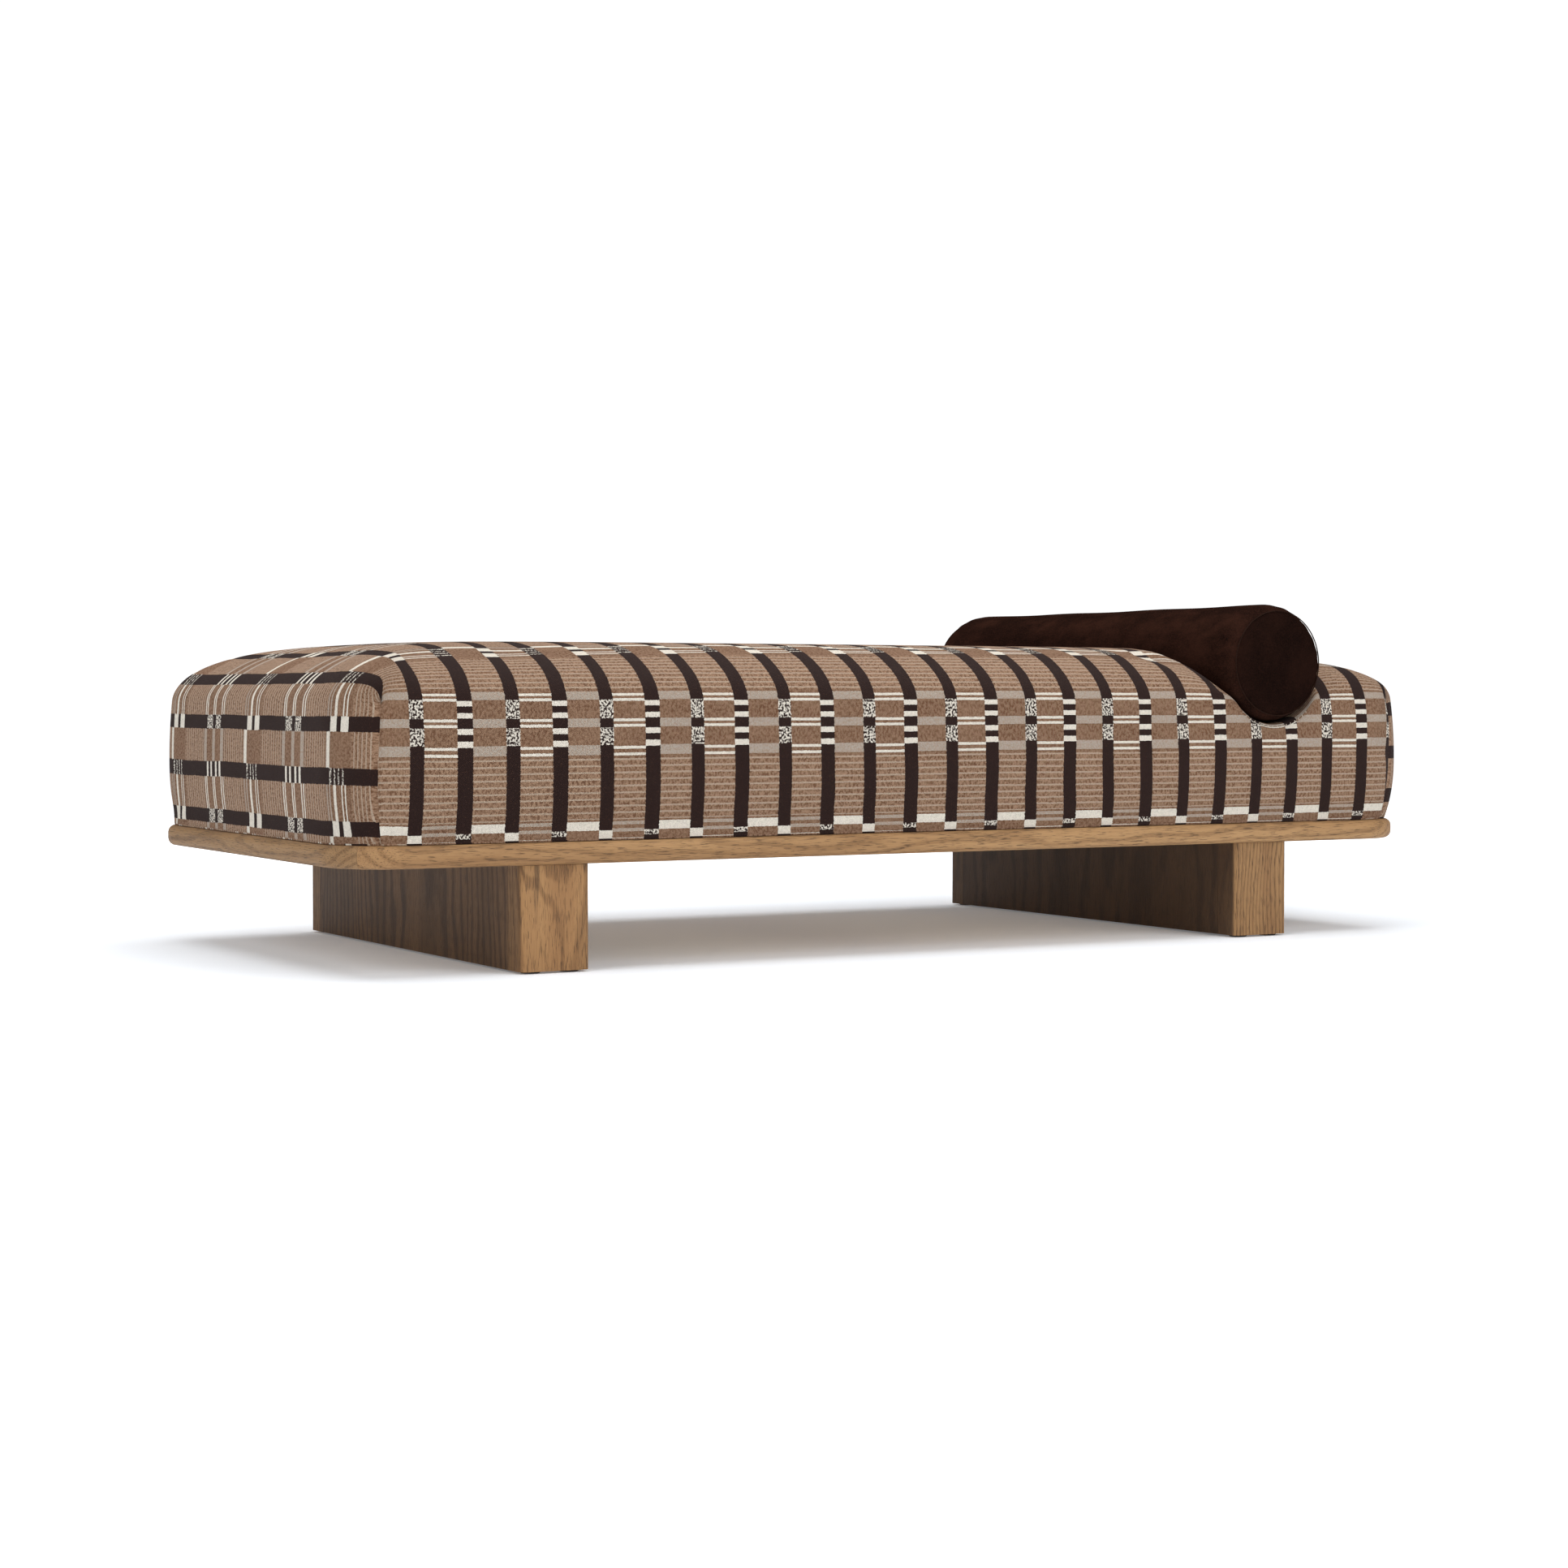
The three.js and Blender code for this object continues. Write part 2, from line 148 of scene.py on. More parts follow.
class Wire:
    """A shader value that takes part in sums by adding Math nodes."""

    def __init__(self, graph: "Graph", socket: bpy.types.NodeSocket) -> None:
        """Wraps an output socket of a graph."""
        self.graph = graph
        self.socket = socket

    def __add__(self, other: Any) -> "Wire":
        """Adds."""
        return self.graph.math("ADD", self, other)

    def __radd__(self, other: Any) -> "Wire":
        """Adds, reflected."""
        return self.graph.math("ADD", other, self)

    def __sub__(self, other: Any) -> "Wire":
        """Subtracts."""
        return self.graph.math("SUBTRACT", self, other)

    def __rsub__(self, other: Any) -> "Wire":
        """Subtracts, reflected."""
        return self.graph.math("SUBTRACT", other, self)

    def __mul__(self, other: Any) -> "Wire":
        """Multiplies."""
        return self.graph.math("MULTIPLY", self, other)

    def __rmul__(self, other: Any) -> "Wire":
        """Multiplies, reflected."""
        return self.graph.math("MULTIPLY", other, self)

    def __truediv__(self, other: Any) -> "Wire":
        """Divides."""
        return self.graph.math("DIVIDE", self, other)

    def __pow__(self, other: Any) -> "Wire":
        """Raises to a power."""
        return self.graph.math("POWER", self, other)

    def __mod__(self, other: Any) -> "Wire":
        """Remainder that is never negative."""
        return self.graph.math("FLOORED_MODULO", self, other)

    def __abs__(self) -> "Wire":
        """Absolute value."""
        return self.graph.math("ABSOLUTE", self)

    def sine(self) -> "Wire":
        """Sine of an angle in radians."""
        return self.graph.math("SINE", self)

    def between(self, low: float, high: float) -> "Wire":
        """1 from low to high."""
        return self.graph.math("COMPARE", self, (low + high) / 2.0, (high - low) / 2.0)

    def ease(self, low: float, high: float) -> "Wire":
        """Climbs smoothly from 0 at low to 1 at high."""
        node = self.graph.add(
            "ShaderNodeMapRange",
            {"interpolation_type": "SMOOTHSTEP"},
            {"Value": self, "From Min": low, "From Max": high},
        )
        return Wire(self.graph, node.outputs["Result"])


class Graph:
    """The node tree of one material."""

    def __init__(self, name: str) -> None:
        """Starts an empty material."""
        self.material = bpy.data.materials.new(name)
        self.material.use_nodes = True
        self.tree = self.material.node_tree
        self.tree.nodes.clear()

    def plug(self, value: Any, socket: bpy.types.NodeSocket) -> None:
        """Links a Wire or an output to an input, or sets the input to a plain value."""
        source = value.socket if isinstance(value, Wire) else value
        if isinstance(source, bpy.types.NodeSocket):
            self.tree.links.new(source, socket)
        else:
            socket.default_value = source

    def add(
        self,
        kind: str,
        settings: dict[str, Any] | None = None,
        inputs: dict[str | int, Any] | None = None,
    ) -> bpy.types.Node:
        """Adds any node.

        Args:
            kind: The node's type name.
            settings: Its own settings, set before its sockets.
            inputs: Values or links by socket name, identifier or place.

        Returns:
            The new node.
        """
        node = self.tree.nodes.new(kind)
        for key, value in (settings or {}).items():
            setattr(node, key, value)
        for key, value in (inputs or {}).items():
            named = [socket for socket in node.inputs if socket.identifier == key]
            self.plug(value, named[0] if named else node.inputs[key])
        return node

    def math(self, operation: str, *values: Any) -> Wire:
        """The result of a Math node on one to three values."""
        node = self.add("ShaderNodeMath", {"operation": operation}, dict(enumerate(values)))
        return Wire(self, node.outputs[0])

    def mix(self, factor: Any, first: Any, second: Any) -> bpy.types.NodeSocket:
        """The mix of two colours, with the factor as the second one's share."""
        node = self.add(
            "ShaderNodeMix",
            {"data_type": "RGBA"},
            {"Factor_Float": factor, "A_Color": first, "B_Color": second},
        )
        return next(socket for socket in node.outputs if socket.identifier == "Result_Color")

    def wash(self, base: Any, where: Wire, wash: Wash, colour: Any) -> bpy.types.NodeSocket:
        """A base colour with another laid over it where a value climbs."""
        return self.mix(where.ease(wash.low, wash.high) * wash.strength, base, colour)

    def noise(self, axes: Sequence[Wire], kind: Speckle) -> Wire:
        """Noise from 0 to 1.

        Args:
            axes: Three places in metres, or the two of a cloth map.
            kind: Its scales, octaves and strength.

        Returns:
            The noise value.
        """
        places: list[Any] = [axis * scale for axis, scale in zip(axes, kind.scale)]
        if len(axes) == 2:
            places.append(kind.third)
        place = self.add("ShaderNodeCombineXYZ", {}, dict(enumerate(places))).outputs[0]
        node = self.add(
            "ShaderNodeTexNoise",
            {"noise_dimensions": "3D"},
            {"Vector": place, "Scale": 1.0, "Detail": kind.detail, "Roughness": kind.roughness},
        )
        return Wire(self, node.outputs["Fac"])

    def parts(self, vector: Any) -> tuple[Wire, Wire, Wire]:
        """The three numbers of a vector."""
        node = self.add("ShaderNodeSeparateXYZ", {}, {0: vector})
        return Wire(self, node.outputs[0]), Wire(self, node.outputs[1]), Wire(self, node.outputs[2])

    def place(self) -> tuple[Wire, Wire, Wire]:
        """Where a point is on the object."""
        return self.parts(self.add("ShaderNodeTexCoord").outputs["Object"])

    def facing(self) -> tuple[Wire, Wire, Wire]:
        """Which way the surface faces."""
        return self.parts(self.add("ShaderNodeNewGeometry").outputs["Normal"])

    def bump(self, height: Wire, distance: float, strength: float) -> bpy.types.NodeSocket:
        """A normal pushed by a height from 0 to 1, with the distance as its full size in metres."""
        inputs = {"Height": height, "Distance": distance, "Strength": strength}
        return self.add("ShaderNodeBump", {}, inputs).outputs["Normal"]

    def finish(self, **values: Any) -> bpy.types.Material:
        """Adds the surface shader and the output.

        Args:
            **values: Shader inputs, with underscores for spaces.

        Returns:
            The finished material.
        """
        inputs = {key.replace("_", " "): value for key, value in values.items()}
        shader = self.add("ShaderNodeBsdfPrincipled", {}, inputs)
        self.add("ShaderNodeOutputMaterial", {}, {"Surface": shader.outputs[0]})
        return self.material


@dataclass(frozen=True)
class OakFinish:
    """Brushed oak with open dark pores and slow cathedral figure."""

    name: str
    grain: Grain
    pale: Colour = linear(178, 139, 94)
    middle: Colour = linear(156, 117, 76)
    late: Colour = linear(124, 88, 54)
    pore: Colour = linear(58, 41, 28)
    figure: float = 0.42
    weathering: float = 0.25
    weathered: Span = (0.56, 0.78)
    # painted shade: faces that look along the bed, the legs' broad sides, darkened towards the pore
    # colour
    broad_side_painted_shade: float = 0.0
    broad_side: Span = (0.70, 0.95)
    # painted shade: share by which the whole piece is darkened towards the pore colour, for pieces
    # that sit in shade
    painted_shade: float = 0.0
    shift: float = 0.0
    heart_depth: float = 0.06
    ring_pitch: float = 0.011
    ring_wander: float = 0.10
    ring_waver: float = 0.004
    latewood: Span = (0.45, 1.0)
    pore_start: float = 0.590
    pore_crowding: float = 0.045
    wander: Speckle = Speckle((5.0, 1.5, 5.0), 3.0)
    waver: Speckle = Speckle((60.0, 6.0, 60.0))
    tone: Speckle = Speckle((14.0, 1.2, 14.0), 3.0)
    fibre: Speckle = Speckle((700.0, 22.0, 700.0))
    streak: Speckle = Speckle((900.0, 42.0, 900.0))
    cloud: Speckle = Speckle((42.0, 3.0, 42.0), 4.0, 0.65)
    tone_wash: Wash = Wash(0.3, 0.7)
    fibre_wash: Wash = Wash(0.35, 0.75, 0.25)
    pore_wash: Wash = Wash(0.0, 0.05, 0.62)
    roughness: Span = (0.56, 0.70)
    pore_depth: float = 0.8
    fibre_depth: float = 0.2
    relief: float = 0.0006

    def _lay(self, graph: Graph) -> tuple[Wire, Wire, Wire]:
        """Coordinates as across, along, depth for the board's grain."""
        x, y, z = graph.place()
        if self.grain is Grain.ALONG_LENGTH:
            return y + self.shift, x, z
        if self.grain is Grain.ALONG_WIDTH:
            return x + self.shift, y, z
        return x + self.shift, z, y

    def _latewood(self, graph: Graph, axes: tuple[Wire, Wire, Wire]) -> Wire:
        """1 in the dark part of each year ring, around a wandering heart."""
        across, _, depth = axes
        wander = (graph.noise(axes, self.wander) - 0.5) * self.ring_wander
        waver = (graph.noise(axes, self.waver) - 0.5) * self.ring_waver
        heart = (across**2.0 + (depth + self.heart_depth) ** 2.0) ** 0.5
        ring = (heart + wander + waver) / self.ring_pitch
        return ((ring * FULL_TURN).sine() * 0.5 + 0.5).ease(*self.latewood)

    def make(self) -> bpy.types.Material:
        """Builds the material."""
        graph = Graph(self.name)
        axes = self._lay(graph)
        latewood = self._latewood(graph, axes)
        fibre = graph.noise(axes, self.fibre)
        streak = graph.noise(axes, self.streak) - (self.pore_start - latewood * self.pore_crowding)
        base = graph.wash(self.middle, graph.noise(axes, self.tone), self.tone_wash, self.pale)
        base = graph.mix(latewood * self.figure, base, self.late)
        base = graph.wash(base, fibre, self.fibre_wash, self.late)
        base = graph.wash(base, streak, self.pore_wash, self.pore)
        grey = graph.noise(axes, self.cloud).ease(*self.weathered)
        base = graph.mix(grey * self.weathering, base, self.pore)
        # painted shade: the whole piece darkened towards the pore colour by a fixed share
        base = graph.mix(self.painted_shade, base, self.pore)
        # painted shade: darker where the surface faces along the bed, by the way it faces
        if self.broad_side_painted_shade:
            broad = abs(graph.facing()[0]).ease(*self.broad_side)
            base = graph.mix(broad * self.broad_side_painted_shade, base, self.pore)
        pores = streak.ease(self.pore_wash.low, self.pore_wash.high)
        height = 1.0 - pores * self.pore_depth - fibre * self.fibre_depth
        smoothest, roughest = self.roughness
        return graph.finish(
            Base_Color=base,
            Roughness=smoothest + fibre * (roughest - smoothest),
            Normal=graph.bump(height, self.relief, 0.7),
            Specular_IOR_Level=0.35,
        )


@dataclass(frozen=True)
class StripedWeave:
    """The heavy cloth: dark stripes across, woven groups of pale lines, ribs and speckle.

    The cloth's own map is in metres: u runs along the bed and v across it, over the edges. The
    stripes are narrow and wide in turn, and the groups even and odd. The rows of a group are
    heights over its middle.
    """

    name: str = "striped_weave"
    pitch: float = 0.0765
    first_stripe: float = -0.8886
    half_narrow: float = 0.0112
    half_wide: float = 0.0124
    repeat: float = 0.374
    even_group: float = 0.373
    odd_group: float = 0.186
    half_line: float = 0.0021
    even_lines: tuple[float, ...] = (0.0436, 0.0353, 0.0043, -0.0040, -0.037, -0.047)
    even_blocks: Rows = ((0.026, 0.034), (0.008, 0.016), (-0.016, -0.0075), (-0.035, -0.026))
    odd_blocks: Rows = ((0.003, 0.025), (-0.032, -0.010))
    odd_lines: Rows = ((0.0025, 0.0115), (-0.018, -0.0145), (-0.028, -0.0245))
    odd_bar: Rows = ((0.025, 0.038),)
    even_salt: Rows = ((0.007, 0.0355), (-0.033, -0.007))
    odd_salt: Rows = ((0.017, 0.025), (0.004, 0.0085), (-0.009, -0.0045), (-0.022, -0.0175))
    even_bands: Rows = ((0.0355, 0.049), (-0.006, 0.007), (-0.048, -0.033))
    odd_bands: Rows = ((0.033, 0.038), (0.0225, 0.0275))
    rib: float = 0.0101
    pin_share: Span = (0.36, 0.64)
    pin_reach: Span = (0.053, 0.146)
    warp_pitch: float = 0.0030
    weft_pitch: float = 0.0026
    thread_stray: float = 2.0
    tan: Colour = linear(164, 132, 107)
    rust: Colour = linear(104, 73, 53)
    dark: Colour = linear(40, 25, 22)
    cream: Colour = linear(228, 220, 206)
    heather: Colour = linear(180, 169, 156)
    pin: Colour = linear(184, 164, 144)
    shadow: Colour = linear(40, 26, 20)
    jag: Speckle = Speckle((120.0, 420.0), 1.0)
    jog: Speckle = Speckle((420.0, 120.0), 1.0, third=7.0)
    drift: Speckle = Speckle((3.0, 9.0), 1.0, third=3.0)
    speck: Speckle = Speckle((270.0, 170.0), 3.0, 0.7, third=1.0)
    tuft: Speckle = Speckle((520.0, 520.0), 1.0, third=5.0)
    cloud: Speckle = Speckle((9.0, 26.0), 3.0, third=2.0)
    pepper: Speckle = Speckle((330.0, 260.0), 2.0, third=9.0)
    stripe_stray: Span = (0.0034, 0.0040)
    row_stray: Span = (0.0022, 0.0030)
    rust_wash: Wash = Wash(0.42, 0.60)
    plain_rust: float = 0.34
    tan_wash: Wash = Wash(0.35, 0.7, 0.22)
    pin_strength: float = 0.8
    pin_tuft: Span = (0.2, 0.45)
    dark_wash: Wash = Wash(0.62, 0.76, 0.45)
    grit_wash: Wash = Wash(0.45, 0.55)
    pale_wash: Wash = Wash(0.40, 0.66, 0.45)
    band_strength: float = 0.85
    chalk_wash: Wash = Wash(0.55, 0.8, 0.3)
    hollow: Span = (0.30, 0.62)
    hollow_shade: float = 0.30
    thread_rise: float = 0.20
    tuft_rise: float = 0.45
    speck_rise: float = 0.35
    cream_rise: float = 0.15
    stripe_sink: float = 0.10
    relief: float = 0.0021

    def _rows(self, height: Wire, rows: Iterable[Span]) -> Wire:
        """1 where the height lies in any of the rows."""
        first, *rest = [height.between(low, high) for low, high in rows]
        for inside in rest:
            first = first + inside
        return first

    def _over_group(self, height: Wire, middle_height: float) -> Wire:
        """Height over the middle of the nearest group of one kind."""
        half = self.repeat / 2.0
        return (height - middle_height + half) % self.repeat - half

    def _masks(self, place: Wire, even: Wire, odd: Wire) -> tuple[Wire, Wire, Wire, Wire, Wire]:
        """Where each yarn lies.

        Args:
            place: Place along the bed, from the middle of a narrow stripe.
            even: Height over the nearest even group.
            odd: Height over the nearest odd group.

        Returns:
            The dark stripes, the spaces between, and the cream, salted and banded yarns.
        """
        narrow = place.between(-self.half_narrow, self.half_narrow)
        wide = place.between(self.pitch - self.half_wide, self.pitch + self.half_wide)
        after_narrow = place.between(self.half_narrow, self.pitch - self.half_wide)
        after_wide = 1.0 - narrow - wide - after_narrow
        lines = [(line - self.half_line, line + self.half_line) for line in self.even_lines]
        cream = (
            wide * self._rows(even, self.even_blocks)
            + narrow * self._rows(odd, self.odd_blocks)
            + after_narrow * (self._rows(even, lines) + self._rows(odd, self.odd_lines))
            + after_wide * self._rows(odd, self.odd_bar)
        )
        salted = narrow * self._rows(even, self.even_salt) + wide * self._rows(odd, self.odd_salt)
        even_banded = after_wide * self._rows(even, self.even_bands)
        banded = even_banded + after_narrow * self._rows(odd, self.odd_bands)
        stripes = (narrow + wide) * (1.0 - cream).ease(0.0, 1.0)
        return stripes, after_narrow + after_wide, cream, salted, banded

    def make(self) -> bpy.types.Material:
        """Builds the material."""
        graph = Graph(self.name)
        u, v, _ = graph.parts(graph.add("ShaderNodeUVMap", {"uv_map": "cloth"}).outputs[0])
        jag = graph.noise((u, v), self.jag) - 0.5
        jog = graph.noise((u, v), self.jog) - 0.5
        drift = graph.noise((u, v), self.drift) - 0.5
        edge_stray, slow_stray = self.stripe_stray
        half_pitch = self.pitch / 2.0
        along = u - self.first_stripe + half_pitch + jag * edge_stray + drift * slow_stray
        place = along % (2.0 * self.pitch) - half_pitch
        edge_stray, slow_stray = self.row_stray
        height = v + jog * edge_stray + drift * slow_stray
        even = self._over_group(height, self.even_group)
        odd = self._over_group(height, self.odd_group)
        stripes, spaces, cream, salted, banded = self._masks(place, even, odd)
        reach = abs(even).between(*self.pin_reach)
        pins = spaces * reach * ((height / self.rib) % 1.0).between(*self.pin_share)

        speck = graph.noise((u, v), self.speck)
        tuft = graph.noise((u, v), self.tuft)
        pepper = graph.noise((u, v), self.pepper)
        cloth = graph.wash(self.tan, speck, self.rust_wash, self.rust)
        cloth = graph.mix(spaces * (1.0 - reach) * self.plain_rust, cloth, self.rust)
        cloth = graph.wash(cloth, graph.noise((u, v), self.cloud), self.tan_wash, self.tan)
        cloth = graph.mix(pins * tuft.ease(*self.pin_tuft) * self.pin_strength, cloth, self.pin)
        cloth = graph.mix(stripes, cloth, graph.wash(self.dark, tuft, self.dark_wash, self.rust))
        cloth = graph.mix(salted, cloth, graph.wash(self.dark, pepper, self.grit_wash, self.cream))
        pale = graph.wash(self.heather, pepper, self.pale_wash, self.tan)
        cloth = graph.mix(banded * self.band_strength, cloth, pale)
        cloth = graph.mix(cream, cloth, graph.wash(self.cream, tuft, self.chalk_wash, self.heather))

        warp = (u * (FULL_TURN / self.warp_pitch) + jog * self.thread_stray).sine()
        weft = (v * (FULL_TURN / self.weft_pitch) + jag * self.thread_stray).sine()
        woolly = tuft * self.tuft_rise + speck * self.speck_rise
        bulk = warp * weft * self.thread_rise + woolly + cream * self.cream_rise
        bulk = bulk - stripes * self.stripe_sink
        raised = (tuft * 0.5 + speck * 0.5).ease(*self.hollow)
        cloth = graph.mix((1.0 - raised) * self.hollow_shade, cloth, self.shadow)
        return graph.finish(
            Base_Color=cloth,
            Roughness=0.92,
            Normal=graph.bump(bulk, self.relief, 0.9),
            Specular_IOR_Level=0.08,
            Sheen_Weight=0.03,
            Sheen_Roughness=0.6,
        )


@dataclass(frozen=True)
class Velvet:
    """Short dark pile with brushed patches; painted shade makes it darkest on the bolster's round
    ends.
    """

    name: str = "brown_velvet"
    deep: Colour = linear(19, 11, 9)
    worn: Colour = linear(56, 33, 25)
    brushed: Speckle = Speckle((16.0, 9.0, 16.0), 4.0, 0.7)
    pile: Speckle = Speckle((520.0, 520.0, 520.0), 3.0, 0.7)
    nap: Speckle = Speckle((160.0, 60.0, 160.0))
    brushed_wash: Wash = Wash(0.35, 0.7, 0.55)
    pile_wash: Wash = Wash(0.42, 0.66, 0.55)
    end_painted_shade: Wash = Wash(0.6, 0.95, 0.6)
    pile_share: float = 0.6
    relief: float = 0.0007

    def make(self) -> bpy.types.Material:
        """Builds the material."""
        graph = Graph(self.name)
        axes = graph.place()
        pile = graph.noise(axes, self.pile)
        nap = graph.noise(axes, self.nap)
        colour = graph.wash(self.deep, graph.noise(axes, self.brushed), self.brushed_wash, self.worn)
        colour = graph.wash(colour, pile, self.pile_wash, self.worn)
        # painted shade: faces turned along the bolster, its round ends, darkened towards the deep
        # colour
        colour = graph.wash(colour, abs(graph.facing()[1]), self.end_painted_shade, self.deep)
        height = pile * self.pile_share + nap * (1.0 - self.pile_share)
        return graph.finish(
            Base_Color=colour,
            Roughness=0.95,
            Normal=graph.bump(height, self.relief, 0.6),
            Specular_IOR_Level=0.0,
            Sheen_Weight=0.02,
            Sheen_Roughness=0.4,
            Sheen_Tint=linear(120, 82, 62),
        )


@dataclass(frozen=True)
class PlainFinish:
    """One colour with fine mottling, grit and unevenness: thread, metal, plastic, tape."""

    name: str
    base: Colour
    speck: Colour
    grit: float
    roughness: float
    metallic: float = 0.0
    relief: float = 0.0002
    stretch: tuple[float, float, float] = (1.0, 1.0, 1.0)
    shine: float = 0.5
    slower: float = 12.0
    fine_wash: Wash = Wash(0.35, 0.7, 0.7)
    slow_wash: Wash = Wash(0.4, 0.7, 0.3)
    unevenness: float = 0.2

    def make(self) -> bpy.types.Material:
        """Builds the material."""
        graph = Graph(self.name)
        axes = graph.place()
        fine_scale = tuple(self.grit * factor for factor in self.stretch)
        slow_scale = tuple(scale / self.slower for scale in fine_scale)
        fine = graph.noise(axes, Speckle(fine_scale, 3.0, 0.6))
        slow = graph.noise(axes, Speckle(slow_scale))
        colour = graph.wash(self.base, fine, self.fine_wash, self.speck)
        colour = graph.wash(colour, slow, self.slow_wash, self.speck)
        return graph.finish(
            Base_Color=colour,
            Roughness=self.roughness + (fine - 0.5) * self.unevenness,
            Metallic=self.metallic,
            Specular_IOR_Level=self.shine,
            Normal=graph.bump(fine, self.relief, 0.5),
        )


@dataclass(frozen=True)
class PlywoodFinish:
    """Birch plywood: pale face with soft figure, thin dark plies on its edges."""

    name: str = "birch_ply"
    pale: Colour = linear(214, 186, 146)
    figure: Colour = linear(182, 148, 106)
    glue: Colour = linear(120, 84, 54)
    ply: float = 0.0015
    glue_line: Span = (0.0, 0.5)
    edge: Span = (0.6, 0.9)
    glue_strength: float = 0.6
    flame: Speckle = Speckle((1.2, 14.0, 14.0), 4.0)
    fibre: Speckle = Speckle((14.0, 420.0, 420.0))
    flame_wash: Wash = Wash(0.42, 0.6)
    fibre_wash: Wash = Wash(0.4, 0.7, 0.3)
    relief: float = 0.0003

    def make(self) -> bpy.types.Material:
        """Builds the material."""
        graph = Graph(self.name)
        axes = graph.place()
        fibre = graph.noise(axes, self.fibre)
        colour = graph.wash(self.pale, graph.noise(axes, self.flame), self.flame_wash, self.figure)
        colour = graph.wash(colour, fibre, self.fibre_wash, self.glue)
        upright = (1.0 - abs(graph.facing()[2])).ease(*self.edge)
        plies = ((axes[2] / self.ply) % 2.0).between(*self.glue_line) * upright
        colour = graph.mix(plies * self.glue_strength, colour, self.glue)
        normal = graph.bump(fibre, self.relief, 0.5)
        return graph.finish(Base_Color=colour, Roughness=0.62, Normal=normal)


def repaint(node: bpy.types.Object, material: bpy.types.Material) -> None:
    """Gives a CAD node its finish."""
    for place in range(len(node.material_slots)):
        node.material_slots[place].material = material
    if not node.material_slots:
        node.data.materials.append(material)


def settle(name: str, mesh: bmesh.types.BMesh, material: bpy.types.Material) -> bpy.types.Object:
    """Turns a finished bmesh into an object at the origin.

    Args:
        name: The piece's name.
        mesh: Its shape, which is freed.
        material: Its finish.

    Returns:
        The new object.
    """
    bmesh.ops.recalc_face_normals(mesh, faces=mesh.faces)
    data = bpy.data.meshes.new(name)
    mesh.to_mesh(data)
    mesh.free()
    data.materials.append(material)
    for polygon in data.polygons:
        polygon.use_smooth = True
    piece = bpy.data.objects.new(name, data)
    bpy.context.scene.collection.objects.link(piece)
    return piece


def smooth_over(piece: bpy.types.Object, levels: int = 1) -> None:
    """Adds a live subdivision with the same levels in both views."""
    modifier = piece.modifiers.new("smooth", "SUBSURF")
    modifier.levels = levels
    modifier.render_levels = levels


def cut_across(mesh: bmesh.types.BMesh, normal: Vector, place: float) -> None:
    """Cuts every face that a plane crosses, at a place along the plane's normal."""
    bmesh.ops.bisect_plane(
        mesh,
        geom=mesh.verts[:] + mesh.edges[:] + mesh.faces[:],
        dist=TINY,
        plane_co=normal * place,
        plane_no=normal,
    )


def middle(low: Vector, high: Vector) -> Vector:
    """The point half way between two corners."""
    return (low + high) / 2.0


@dataclass(frozen=True)
class ShoulderCurve:
    """How the mattress turns from its side into its crowned top."""

    rise: float = 0.088
    run: float = 0.460
    fall: float = 5.5
    fullness: float = 0.60
    steps: int = 500

    def height(self, inward: float) -> float:
        """Height over the shoulder at an inward distance."""
        share = min(max(inward, 0.0) / self.run, 1.0)
        return self.rise * (1.0 - (1.0 - share) ** self.fall) ** self.fullness

    def table(self) -> tuple[list[float], list[float]]:
        """Steps along the curve.

        Returns:
            The path from the shoulder, and the inward distance at each of its steps.
        """
        paths = [0.0]
        inwards = [0.0]
        for step in range(1, self.steps + 1):
            inward = self.run * (step / self.steps) ** 3.0
            climb = self.height(inward) - self.height(inwards[-1])
            paths.append(paths[-1] + math.hypot(inward - inwards[-1], climb))
            inwards.append(inward)
        return paths, inwards


